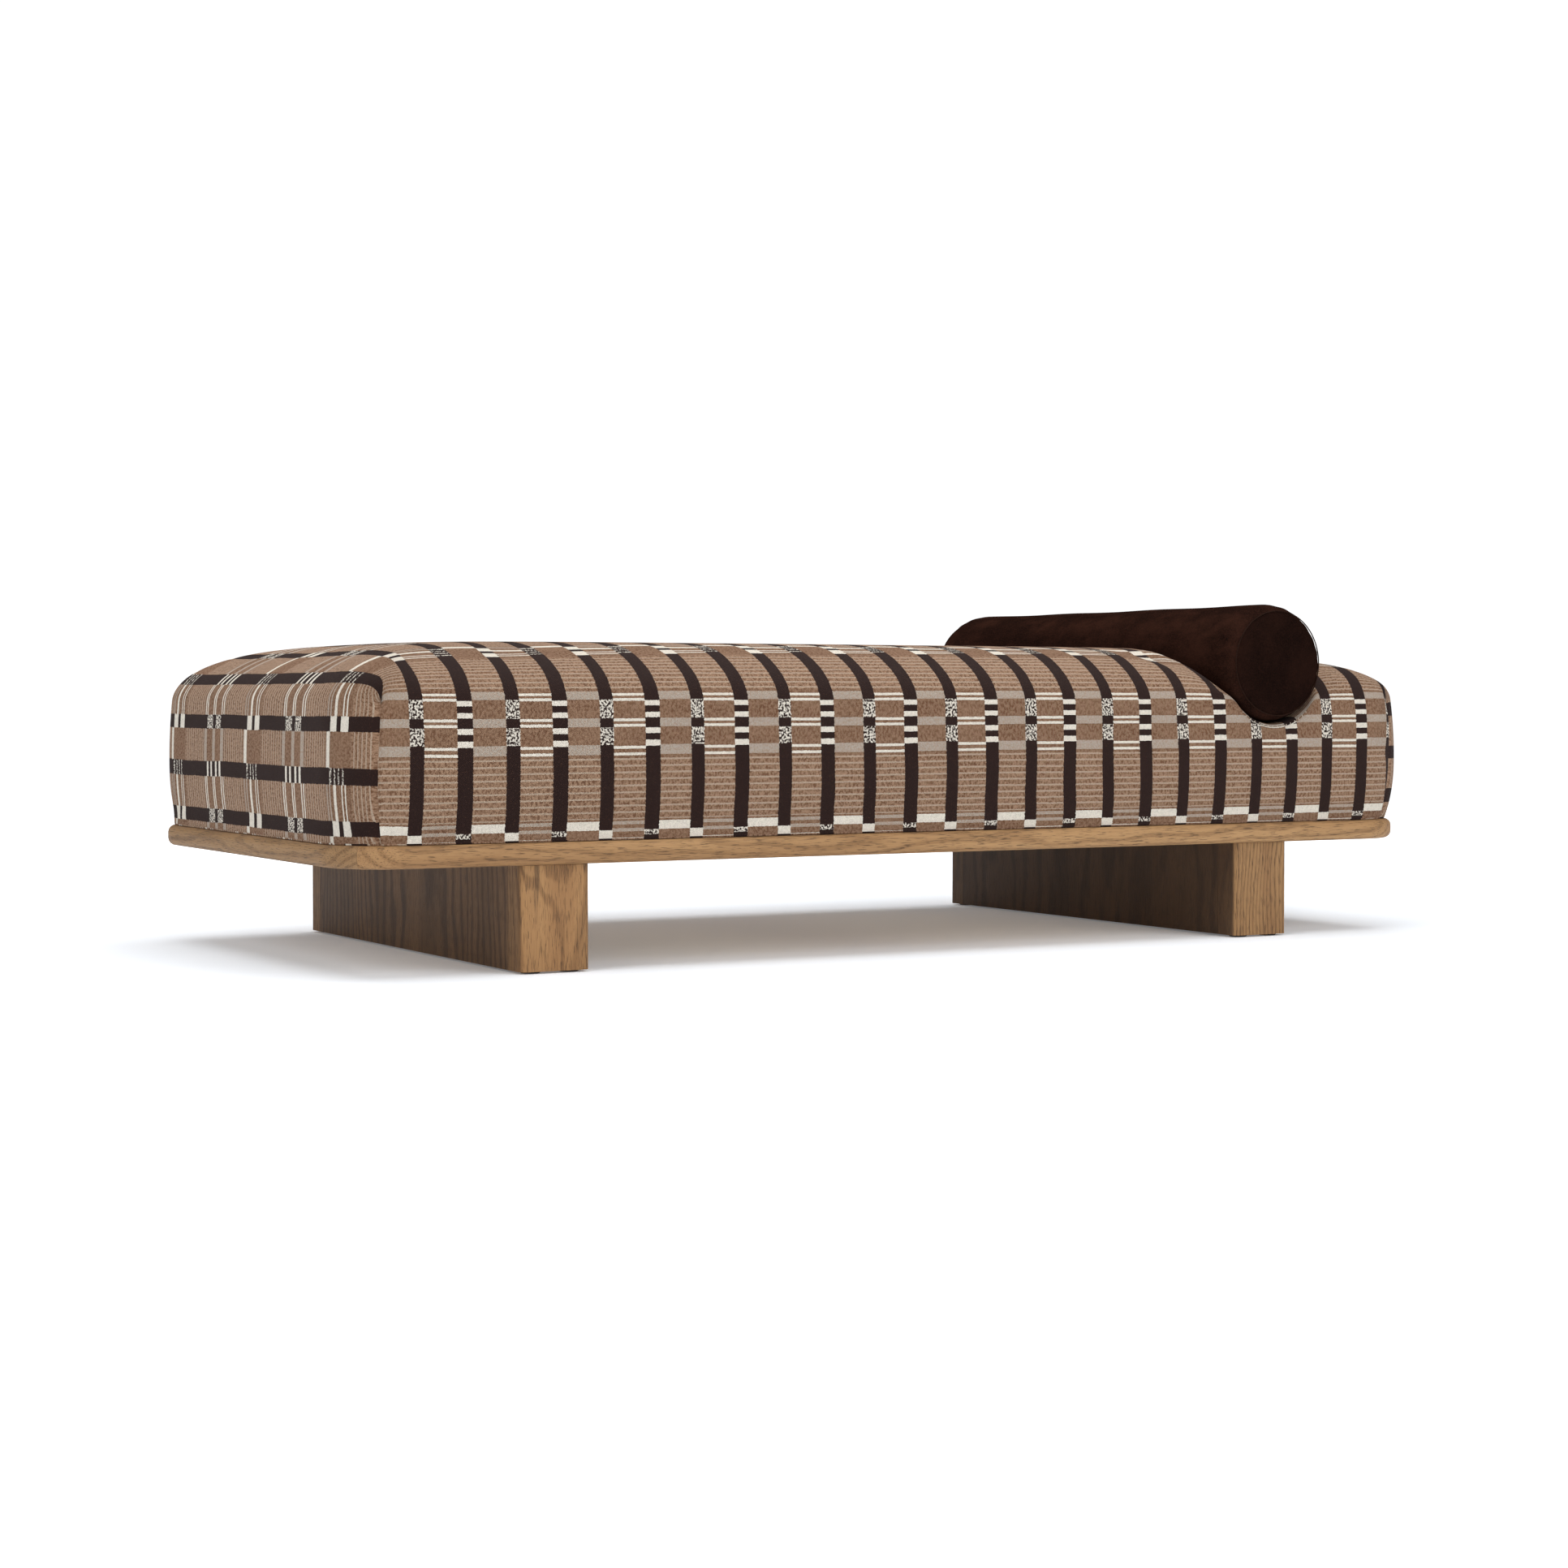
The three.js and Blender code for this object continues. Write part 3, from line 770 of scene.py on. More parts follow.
@dataclass
class Mattress:
    """The foam mattress in its sewn cover, with the trough that the bolster lies in."""

    weave: bpy.types.Material
    thread: bpy.types.Material
    low: Vector
    high: Vector
    bolster_low: Vector
    bolster_high: Vector
    shoulder: float = 0.405
    belly: float = 0.300
    foot_tuck: float = 0.011
    shoulder_tuck: float = 0.004
    corner: float = 0.105
    seam_angle: float = math.radians(28.0)
    trough_gap: float = 0.0025
    lip_drop: float = 0.026
    lip_run: float = 0.055
    head_lip_drop: float = 0.016
    head_lip_run: float = 0.060
    lip_power: float = 3.0
    head_lip_power: float = 2.0
    lip_limit: float = 1.2
    lip_rounding: float = 0.012
    foot_softness: float = 0.90
    head_softness: float = 0.60
    blend_power: float = 3.0
    rim: float = 0.007
    rim_start: float = 0.020
    seam_depth: float = 0.0045
    seam_half: float = 0.006
    seam_fade: float = 0.050
    end_shift: float = 0.088
    end_drift: float = 0.800
    end_ease: float = 0.022
    end_ease_run: float = 0.300
    end_gather: float = 1.55
    corner_pull: float = 0.180
    edge_step: float = 0.0075
    edge_cuts: int = 9
    wide_step: float = 0.0180
    side_step: float = 0.0140
    closest_share: float = 0.2
    lip_cuts: tuple[float, ...] = (-0.022, -0.015, -0.010, -0.006, -0.003, 0.0, 0.004, 0.010, 0.017)
    swell_cap: float = 0.006
    swell_frames: int = 20
    staple_line: float = 0.006
    held_beyond: float = 0.010
    held_above: float = 0.020
    held_below: float = 0.120
    stitch_count: int = 30
    stitch_arc: float = math.radians(76.0)
    stitch_lean: float = math.radians(28.0)
    stitch_out: float = 0.0045
    stitch_sink: float = 0.0018
    stitch_size: tuple[float, float, float] = (0.0040, 0.0014, 0.0013)
    curve: ShoulderCurve = field(default_factory=ShoulderCurve)

    def __post_init__(self) -> None:
        """Works out what the sizes lead to."""
        self.paths, self.inwards = self.curve.table()
        self.slack = self.paths[-1] - self.curve.run
        self.half_x = (self.high.x - self.low.x) / 2.0
        self.half_y = (self.high.y - self.low.y) / 2.0
        self.top_x = self.half_x - self.shoulder_tuck
        self.top_y = self.half_y - self.shoulder_tuck
        self.sheet_x = self.top_x + self.slack
        self.sheet_y = self.top_y + self.slack
        self.trough = middle(self.bolster_low, self.bolster_high)
        self.trough_radius = (self.bolster_high.z - self.bolster_low.z) / 2.0 + self.trough_gap

    def inward(self, path: float) -> float:
        """Inward distance after a path over the shoulder."""
        if path >= self.paths[-1]:
            return self.inwards[-1] + path - self.paths[-1]
        place = max(bisect.bisect_right(self.paths, path) - 1, 0)
        span = self.paths[place + 1] - self.paths[place]
        share = (path - self.paths[place]) / span
        return self.inwards[place] + share * (self.inwards[place + 1] - self.inwards[place])

    def tuck(self, z: float) -> float:
        """How far the side lies inside its fullest line at a height."""
        if z < self.belly:
            return self.foot_tuck * ((self.belly - z) / (self.belly - self.low.z)) ** 2.3
        return self.shoulder_tuck * ((z - self.belly) / (self.shoulder - self.belly)) ** 2.0

    def round_corner(self, x: float, y: float, reach_x: float, reach_y: float) -> tuple[float, float]:
        """Brings a point of a square plan onto the plan with round corners.

        Args:
            x: Place along the bed.
            y: Place across the bed.
            reach_x: Half the square plan's length.
            reach_y: Half the square plan's width.

        Returns:
            The point on the round plan.
        """
        over_x = max(abs(x) - (reach_x - self.corner), 0.0)
        over_y = max(abs(y) - (reach_y - self.corner), 0.0)
        if over_x == 0.0 or over_y == 0.0:
            return x, y
        twice = 2.0 * self.corner * self.corner
        new_x = over_x * math.sqrt(1.0 - over_y * over_y / twice)
        new_y = over_y * math.sqrt(1.0 - over_x * over_x / twice)
        out = math.hypot(new_x, new_y)
        angle = math.atan2(new_x, new_y)
        half = math.pi / 4.0
        if angle < half:
            turned = angle * self.seam_angle / half
        else:
            beyond = (angle - half) / half
            turned = self.seam_angle + beyond * (2.0 * half - self.seam_angle)
        return (
            math.copysign(reach_x - self.corner + out * math.sin(turned), x),
            math.copysign(reach_y - self.corner + out * math.cos(turned), y),
        )

    def trough_height(self, x: float) -> float:
        """Height of the trough's round floor, and a steep climb beyond it."""
        climb = 8.0
        away = abs(x - self.trough.x)
        if away < self.trough_radius:
            return self.trough.z - math.sqrt(self.trough_radius**2 - away**2)
        return self.trough.z + (away - self.trough_radius) * climb

    def soft_lower(self, first: float, second: float, softness: float) -> float:
        """The lower of two heights, with the meeting line rounded."""
        share = min(max(0.5 + 0.5 * (second - first) / softness, 0.0), 1.0)
        return second + (first - second) * share - softness * share * (1.0 - share)

    def top_height(self, x: float, inward_x: float, inward_y: float, head: bool) -> float:
        """Height of the cover's top.

        Args:
            x: Place along the bed.
            inward_x: Distance inside the nearer short end.
            inward_y: Distance inside the nearer long side.
            head: True on the head half.

        Returns:
            The height.
        """
        softness = self.head_softness if head else self.foot_softness
        end_side = max(inward_x * softness, TINY) ** -self.blend_power
        long_side = max(inward_y, TINY) ** -self.blend_power
        both = (end_side + long_side) ** (-1.0 / self.blend_power)
        full = self.curve.height(both)
        before = self.trough.x - self.trough_radius - x
        after = x - self.trough.x - self.trough_radius
        lip = 0.0
        if before > -self.trough_radius:
            share = min(max(1.0 - before / self.lip_run, 0.0), self.lip_limit)
            lip = self.lip_drop * share**self.lip_power
        elif after > -self.trough_radius:
            share = min(max(1.0 - after / self.head_lip_run, 0.0), self.lip_limit)
            lip = self.head_lip_drop * share**self.head_lip_power
        crown = self.shoulder + max(full - lip * min(full / self.curve.rise, 1.0), 0.0)
        hollow = self.trough_height(x)
        height = self.soft_lower(crown, hollow, self.lip_rounding)
        cut = ease(crown - hollow, 0.0, self.rim_start)
        edge = max(1.0 - inward_y / self.rim, 0.0)
        return height - cut * self.rim * edge * edge

    def place(self, x: float, y: float, z: float) -> Vector:
        """Where a point of the flat-sided box goes on the cover.

        Args:
            x: Box place along the bed.
            y: Box place across the bed.
            z: Box height, the shoulder at the top.

        Returns:
            The point on the cover.
        """
        path_x = self.sheet_x - abs(x)
        path_y = self.sheet_y - abs(y)
        inward_x = self.inward(path_x)
        inward_y = self.inward(path_y)
        plan_x = math.copysign(self.top_x - inward_x, x)
        plan_y = math.copysign(self.top_y - inward_y, y)
        height = self.top_height(plan_x, inward_x, inward_y, x > 0.0)
        reach_x, reach_y = self.top_x, self.top_y
        if z <= self.shoulder - TINY:
            brim = min(height, self.shoulder) if path_y < TINY else self.shoulder
            share = (z - self.low.z) / (self.shoulder - self.low.z)
            height = self.low.z + share * (brim - self.low.z)
            tuck = self.tuck(height)
            reach_x, reach_y = self.half_x - tuck, self.half_y - tuck
            plan_x = math.copysign(min(abs(plan_x) * reach_x / self.top_x, reach_x), x)
            plan_y = math.copysign(min(abs(plan_y) * reach_y / self.top_y, reach_y), y)
        final_x, final_y = self.round_corner(plan_x, plan_y, reach_x, reach_y)
        return self.sew_corner(Vector((final_x, final_y, height)), path_x, path_y, z)

    def sew_corner(self, point: Vector, path_x: float, path_y: float, z: float) -> Vector:
        """Draws the cloth in along the upright corner seams.

        Args:
            point: The point on the cover.
            path_x: Cloth distance to the short end.
            path_y: Cloth distance to the long side.
            z: Box height.

        Returns:
            The point, drawn in near a seam.
        """
        over_x = abs(point.x) - (self.half_x - self.corner)
        over_y = abs(point.y) - (self.half_y - self.corner)
        if over_x <= 0.0 or over_y <= 0.0:
            return point
        off_seam = abs(math.atan2(over_x, over_y) - self.seam_angle) * self.corner
        on_top = z > self.shoulder - TINY
        fade = 1.0 - ease(path_x + path_y, 0.0, self.seam_fade) if on_top else 1.0
        depth = self.seam_depth * math.exp(-((off_seam / self.seam_half) ** 2.0)) * fade
        outward = Vector((math.copysign(1.0, point.x), math.copysign(1.0, point.y), 0.0))
        return point - outward.normalized() * depth

    def cloth_map(self, panel: Panel, box: Vector, point: Vector) -> tuple[float, float]:
        """The cloth's own coordinates at a corner of a face.

        Args:
            panel: Which panel the face is on.
            box: The point on the flat-sided box.
            point: The point on the cover.

        Returns:
            u along the bed and v across it, in metres of cloth, v as a height on the front side.
        """
        if panel is Panel.BASE:
            return point.x, point.y
        base = self.sheet_y + self.shoulder
        drop = self.shoulder - point.z
        tuck = self.shoulder_tuck if panel is Panel.TOP else self.tuck(point.z)
        arc_x = self.side_place(abs(point.x), self.half_x - tuck)
        arc_y = self.side_place(abs(point.y), self.half_y - tuck)
        arc_y += max(arc_y - (self.half_y - tuck - self.corner), 0.0) * (self.end_gather - 1.0)
        sign_x = math.copysign(1.0, box.x)
        sign_y = math.copysign(1.0, box.y)
        path_x = self.sheet_x - abs(box.x)
        path_y = self.sheet_y - abs(box.y)
        shift = self.end_shift * (1.0 - ease(path_x, 0.0, self.end_drift))
        if panel is Panel.LONG_SIDE:
            return sign_x * arc_x, sign_y * (self.sheet_y + drop) + base
        if panel is Panel.SHORT_END:
            return sign_x * (self.sheet_x + drop - self.end_ease), sign_y * arc_y + base + shift
        total = path_x**2 + path_y**2 + TINY_AREA
        pull = self.corner_pull
        eased = abs(box.x) - self.end_ease * (1.0 - ease(path_x, 0.0, self.end_ease_run))
        near_side = (1.0 - ease(path_y, 0.0, pull)) * path_x**2 / total
        near_end = (1.0 - ease(path_x, 0.0, pull)) * path_y**2 / total
        u = eased + (arc_x - eased) * near_side
        v = abs(box.y) + (arc_y - abs(box.y)) * near_end
        side_fade = 1.0 - (1.0 - ease(path_y, 0.0, pull * 2.0)) * path_x**2 / total
        return sign_x * u, sign_y * v + base + shift * side_fade

    def side_place(self, along: float, reach: float) -> float:
        """Distance along a side, with the corner's arc unrolled."""
        start = reach - self.corner
        if along <= start:
            return along
        return start + self.corner * math.asin(min((along - start) / self.corner, 0.999))

    def stations(self, reach: float, step: float, extra: Iterable[float]) -> list[float]:
        """Where the box is cut along one axis.

        Args:
            reach: Half the box's size.
            step: Spacing away from the edges.
            extra: More cuts.

        Returns:
            The places of the cuts, in order.
        """
        near = [reach - self.edge_step * count for count in range(1, self.edge_cuts)]
        inner = near[-1]
        count = int(2.0 * inner / step)
        wide = [-inner + 2.0 * inner * place / count for place in range(1, count)]
        cuts = sorted(set(near + [-place for place in near] + wide + list(extra)))
        spaced: list[float] = []
        for cut in cuts:
            if not spaced or cut - spaced[-1] > step * self.closest_share:
                spaced.append(cut)
        return spaced

    def slice_box(self) -> bmesh.types.BMesh:
        """The flat-sided box of the cover, cut into a fine net."""
        mesh = bmesh.new()
        bmesh.ops.create_cube(mesh, size=1.0)
        tall = self.shoulder - self.low.z
        size = Matrix.Diagonal((2.0 * self.sheet_x, 2.0 * self.sheet_y, tall, 1.0))
        lift = Matrix.Translation((0.0, 0.0, self.low.z + tall / 2.0))
        bmesh.ops.transform(mesh, matrix=lift @ size, verts=mesh.verts)
        lips = [
            self.trough.x + side * (self.trough_radius + offset)
            for side in (-1.0, 1.0)
            for offset in self.lip_cuts
        ]
        heights = int(tall / self.side_step)
        cuts = {
            0: self.stations(self.sheet_x, self.wide_step, lips),
            1: self.stations(self.sheet_y, self.wide_step, []),
            2: [self.low.z + tall * step / heights for step in range(1, heights)],
        }
        for axis, places in cuts.items():
            normal = Vector([1.0 if axis == other else 0.0 for other in range(3)])
            for place in places:
                cut_across(mesh, normal, place)
        return mesh

    def panel_of(self, normal: Vector) -> Panel:
        """The panel that a box face belongs to, from the way it faces."""
        if normal.z > 0.5:
            return Panel.TOP
        if normal.z < -0.5:
            return Panel.BASE
        return Panel.LONG_SIDE if abs(normal.y) > 0.5 else Panel.SHORT_END

    def shape(self) -> bmesh.types.BMesh:
        """The cover's closed shape with its cloth map."""
        mesh = self.slice_box()
        bmesh.ops.recalc_face_normals(mesh, faces=mesh.faces)
        mesh.normal_update()
        cloth = mesh.loops.layers.uv.new("cloth")
        boxes = {vertex: vertex.co.copy() for vertex in mesh.verts}
        panels = {face: self.panel_of(face.normal) for face in mesh.faces}
        for vertex, box in boxes.items():
            vertex.co = self.place(box.x, box.y, box.z)
        for face, panel in panels.items():
            for loop in face.loops:
                loop[cloth].uv = self.cloth_map(panel, boxes[loop.vert], loop.vert.co)
        return mesh

    def is_held(self, point: Vector) -> bool:
        """Whether a point is stapled along the foot or lies in the trough, and can't swell."""
        low_edge = point.z < self.low.z + self.staple_line
        over_trough = abs(point.x - self.trough.x) < self.trough_radius + self.held_beyond
        over_trough = over_trough and self.trough_height(point.x) < self.shoulder + self.held_above
        return low_edge or (over_trough and point.z > self.trough.z - self.held_below)

    def swell(self, piece: bpy.types.Object) -> None:
        """Lets the cloth swell under pressure between its sewn lines, and keeps the result.

        Args:
            piece: The cover, whose mesh takes the swollen shape.
        """
        data = piece.data
        rest = [vertex.co.copy() for vertex in data.vertices]
        held = piece.vertex_groups.new(name="held")
        held.add([v.index for v in data.vertices if self.is_held(v.co)], 1.0, "REPLACE")
        cloth = piece.modifiers.new("cloth", "CLOTH")
        for key, value in CLOTH_SETTINGS.items():
            setattr(cloth.settings, key, value)
        cloth.settings.vertex_group_mass = held.name
        cloth.settings.effector_weights.gravity = 0.0
        cloth.collision_settings.use_collision = False
        cloth.point_cache.frame_start = 1
        cloth.point_cache.frame_end = self.swell_frames
        for frame_number in range(1, self.swell_frames + 1):
            bpy.context.scene.frame_set(frame_number)
        graph = bpy.context.evaluated_depsgraph_get()
        swollen = [vertex.co.copy() for vertex in piece.evaluated_get(graph).data.vertices]
        piece.modifiers.remove(cloth)
        bpy.context.scene.frame_set(1)
        moved = 0.0
        for vertex, start, end in zip(data.vertices, rest, swollen):
            step = end - start
            if step.length > self.swell_cap:
                step = step * (self.swell_cap / step.length)
            moved = max(moved, step.length)
            vertex.co = start + step
        piece.vertex_groups.remove(held)
        log.info("cover swelled by up to %.1f mm", moved * 1000.0)

    def stitches(self) -> bmesh.types.BMesh:
        """Short hand stitches round the trough's mouth on both long sides."""
        mesh = bmesh.new()
        radius = self.trough_radius + self.stitch_out
        size = Matrix.Diagonal((*self.stitch_size, 1.0))
        for side in (-1.0, 1.0):
            for place in range(self.stitch_count):
                turn = 2.0 * place / (self.stitch_count - 1) - 1.0
                angle = self.stitch_arc * turn - math.pi / 2.0
                x = self.trough.x + radius * math.cos(angle)
                z = self.trough.z + radius * math.sin(angle)
                if z > self.shoulder - self.stitch_sink:
                    continue
                y = side * (self.half_y - self.tuck(z) - self.stitch_sink)
                lean = Matrix.Rotation(self.stitch_lean - angle, 4, "Y")
                matrix = Matrix.Translation((x, y, z)) @ lean @ size
                bmesh.ops.create_icosphere(mesh, subdivisions=2, radius=0.5, matrix=matrix)
        return mesh

    def build(self) -> bpy.types.Object:
        """Makes the cover and its stitches.

        Returns:
            The cover.
        """
        cover = settle("mattress_striped_cover", self.shape(), self.weave)
        self.swell(cover)
        smooth_over(cover)
        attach(cover, "bed")
        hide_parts("mattress_cover", "seat_foam", "cradle_foam", "head_foam")
        stitching = settle("trough_stitches", self.stitches(), self.thread)
        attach(stitching, "bed")
        log.info("mattress: cover of %d vertices", len(cover.data.vertices))
        return cover


@dataclass
class Bolster:
    """The velvet bolster: tube, two round ends, and the corded seams between them."""

    velvet: bpy.types.Material
    cord: bpy.types.Material
    tube_low: Vector
    tube_high: Vector
    end_low: Vector
    end_high: Vector
    sides: int = 96
    proud: float = 0.009
    neck: float = 0.013
    neck_run: float = 0.030
    neck_power: float = 2.2
    cord_radius: float = 0.0010
    cord_seat: float = 0.93
    cord_inset: float = 0.0035
    wrinkle: float = 0.0012
    gathers: float = 23.0
    gather_lean: float = 7.0
    gather_run: float = 0.090
    end_inset: float = 0.004
    rings: int = 9
    cuts: int = 56
    near_cuts: tuple[float, ...] = (0.0015, 0.004, 0.008, 0.012)
    dome: float = 0.004
    roll: float = 0.006
    roll_share: float = 0.10
    seam_sink: float = 0.003

    def __post_init__(self) -> None:
        """Works out what the sizes lead to."""
        self.centre = middle(self.tube_low, self.tube_high)
        self.radius = (self.tube_high.z - self.tube_low.z) / 2.0
        self.half = (self.end_high.y - self.end_low.y) / 2.0 + self.proud
        self.reach = self.half - self.end_inset

    def neck_in(self, y: float) -> float:
        """How much the tube draws in near its ends."""
        share = min(max(1.0 - (self.reach - abs(y)) / self.neck_run, 0.0), 1.0)
        return self.neck * share**self.neck_power

    def ripple(self, angle: float, y: float) -> float:
        """Small unevenness of the stuffed tube: gathers at its ends and slow dents between."""
        near_end = 1.0 - ease(self.half - abs(y), self.end_inset, self.gather_run)
        gathers = math.sin(angle * self.gathers + y * self.gather_lean) * near_end / 2.0
        slow = math.sin(angle * 3.0 + y * 9.0) * math.sin(y * 14.0 + 1.3)
        return self.wrinkle * (gathers + slow)

    def tube(self) -> bmesh.types.BMesh:
        """The stuffed tube, closed by its two domed ends."""
        mesh = bmesh.new()
        bmesh.ops.create_cone(
            mesh,
            cap_ends=True,
            cap_tris=False,
            segments=self.sides,
            radius1=self.radius,
            radius2=self.radius,
            depth=2.0 * self.reach,
        )
        bmesh.ops.rotate(mesh, verts=mesh.verts, matrix=Matrix.Rotation(math.pi / 2.0, 3, "X"))
        even = [self.reach * (2.0 * step / self.cuts - 1.0) for step in range(1, self.cuts)]
        near = [sign * (self.reach - inset) for sign in (-1.0, 1.0) for inset in self.near_cuts]
        for place in sorted(even + near):
            cut_across(mesh, Vector((0.0, 1.0, 0.0)), place)
        ring = self.radius / (self.rings + 1.0)
        for cap in [face for face in mesh.faces if len(face.verts) > 4]:
            for _ in range(self.rings):
                bmesh.ops.inset_region(mesh, faces=[cap], thickness=ring)
        for vertex in mesh.verts:
            self.stuff(vertex)
        bmesh.ops.translate(mesh, verts=mesh.verts, vec=self.centre)
        return mesh

    def stuff(self, vertex: bmesh.types.BMVert) -> None:
        """Moves one point of the plain tube to where the stuffing holds it."""
        slight = 1.0e-4
        point = vertex.co
        share = min(math.hypot(point.x, point.z) / self.radius, 1.0)
        if abs(point.y) > self.reach - slight and share < 0.999:
            dome = self.dome * (1.0 - share**2.0) + self.roll * ease(1.0 - share, 0.0, self.roll_share)
            point.y = math.copysign(self.reach - self.seam_sink + dome, point.y)
            scale = (self.radius - self.neck) / self.radius
            point.x *= scale
            point.z *= scale
            return
        angle = math.atan2(point.z, point.x)
        new = self.radius - self.neck_in(point.y) + self.ripple(angle, point.y) - self.wrinkle
        point.x = math.cos(angle) * new
        point.z = math.sin(angle) * new

    def seam(self, side: float) -> bmesh.types.BMesh:
        """The thin cord sewn between the tube and one end."""
        mesh = bmesh.new()
        ring = self.radius - self.neck * self.cord_seat
        bmesh.ops.create_circle(mesh, cap_ends=False, segments=8, radius=self.cord_radius)
        bmesh.ops.rotate(mesh, verts=mesh.verts, matrix=Matrix.Rotation(math.pi / 2.0, 3, "Z"))
        bmesh.ops.translate(mesh, verts=mesh.verts, vec=(ring, 0.0, 0.0))
        bmesh.ops.spin(
            mesh,
            geom=mesh.verts[:] + mesh.edges[:],
            cent=(0.0, 0.0, 0.0),
            axis=(0.0, 1.0, 0.0),
            angle=FULL_TURN,
            steps=self.sides,
            use_merge=True,
        )
        shift = self.centre + Vector((0.0, side * (self.half - self.cord_inset), 0.0))
        bmesh.ops.translate(mesh, verts=mesh.verts, vec=shift)
        return mesh

    def build(self) -> bpy.types.Object:
        """Makes the bolster's cover and its two seam cords.

        Returns:
            The bolster's cover.
        """
        cover = settle("bolster_velvet_cover", self.tube(), self.velvet)
        smooth_over(cover)
        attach(cover, "bolster")
        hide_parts("bolster_tube", "bolster_end_front", "bolster_end_back", "bolster_filling")
        for name, side in (("front", -1.0), ("back", 1.0)):
            cord = settle(f"bolster_seam_cord_{name}", self.seam(side), self.cord)
            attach(cord, "bolster")
            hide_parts(f"bolster_piping_{name}")
        log.info("bolster: %.0f mm long", self.half * 2000.0)
        return cover


@dataclass
class Woodwork:
    """The plinth and the two slab legs, which keep their CAD shapes."""

    nodes: dict[str, bpy.types.Object]
    short_rail_painted_shade: float = 0.34
    rail_shift: float = 0.31
    bearer_shift: float = 0.17

    def dress(self) -> None:
        """Gives every board the oak with its own grain."""
        rails = {
            "front_rail": Grain.ALONG_LENGTH,
            "back_rail": Grain.ALONG_LENGTH,
            "foot_rail": Grain.ALONG_WIDTH,
            "head_rail": Grain.ALONG_WIDTH,
        }
        for place, (name, grain) in enumerate(rails.items()):
            # painted shade: the two short end rails are darkened as a whole, shaded copies of the long
            # rails' oak
            tone = self.short_rail_painted_shade if grain is Grain.ALONG_WIDTH else 0.0
            finish = OakFinish(f"oak_{name}", grain, shift=self.rail_shift * place, painted_shade=tone)
            repaint(self.nodes[name], finish.make())
        for place, name in enumerate(("foot_bearer", "middle_bearer", "head_bearer")):
            finish = OakFinish(f"oak_{name}", Grain.ALONG_WIDTH, shift=self.bearer_shift * place)
            repaint(self.nodes[name], finish.make())
        for place, leg in enumerate(("foot_leg", "head_leg")):
            self.dress_leg(leg, place)
        plywood = PlywoodFinish().make()
        for name in ("deck_panel", "base_board"):
            repaint(self.nodes[name], plywood)
        log.info("woodwork: dressed")

    def dress_leg(self, leg: str, place: int) -> None:
        """Gives one slab leg its upright grain. The broad boards are darker than the narrow ends,
        partly a darker stain and partly painted shade, and the head leg, deeper under the bed, gets
        more painted shade.
        """
        ends = OakFinish(
            f"oak_{leg}_ends",
            Grain.UPRIGHT,
            middle=linear(158, 116, 74),
            pale=linear(182, 140, 92),
            weathering=0.85,
            ring_pitch=0.008,
            shift=0.7 + 0.23 * place,
            # painted shade: the posts' faces along the bed darkened, and the head leg's posts darkened
            # as a whole
            broad_side_painted_shade=0.52 + 0.26 * place,
            painted_shade=0.22 * place,
            figure=0.55,
        ).make()
        broad = OakFinish(
            f"oak_{leg}_boards",
            Grain.UPRIGHT,
            # these dark colours are partly stain and partly painted shade, for faces that sit in shade
            # under the bed
            pale=linear(116, 86, 57),
            middle=linear(98, 72, 47),
            late=linear(70, 49, 32),
            weathering=0.55,
            ring_pitch=0.014,
            shift=0.45 + 0.37 * place,
            # painted shade: the head leg's boards darkened further, deep under the bed
            painted_shade=0.58 * place,
            figure=0.70,
        ).make()
        for part in ("front_post", "back_post"):
            repaint(self.nodes[f"{leg}_{part}"], ends)
        for part in ("outer_board", "inner_board", "top_rail", "bottom_rail"):
            repaint(self.nodes[f"{leg}_{part}"], broad)


@dataclass
class Fittings:
    """Bolts, screws, glides and the bolster's zip, which keep their CAD shapes."""

    nodes: dict[str, bpy.types.Object]

    def dress(self) -> None:
        """Gives every fitting its finish by its name."""
        steel = PlainFinish(
            "zinc_steel",
            linear(168, 168, 164),
            linear(122, 122, 120),
            grit=900.0,
            roughness=0.38,
            metallic=0.95,
        ).make()
        nylon = PlainFinish(
            "black_nylon", linear(34, 33, 32), linear(54, 52, 50), grit=1400.0, roughness=0.55
        ).make()
        tape = PlainFinish(
            "zip_tape_cloth",
            linear(26, 17, 14),
            linear(44, 30, 24),
            grit=1200.0,
            roughness=0.95,
            relief=0.0006,
            stretch=(1.0, 2.0, 1.0),
            shine=0.02,
        ).make()
        brass = PlainFinish(
            "dark_zip_metal",
            linear(84, 66, 48),
            linear(54, 42, 32),
            grit=1600.0,
            roughness=0.42,
            metallic=0.9,
        ).make()
        finishes = {"leg_bolt": steel, "mattress_screw": steel, "zip_tape": tape, "zip_slider": brass}
        for name, node in self.nodes.items():
            if "_glide_" in name:
                repaint(node, nylon)
            for start, material in finishes.items():
                if name.startswith(start):
                    repaint(node, material)
        log.info("fittings: dressed")


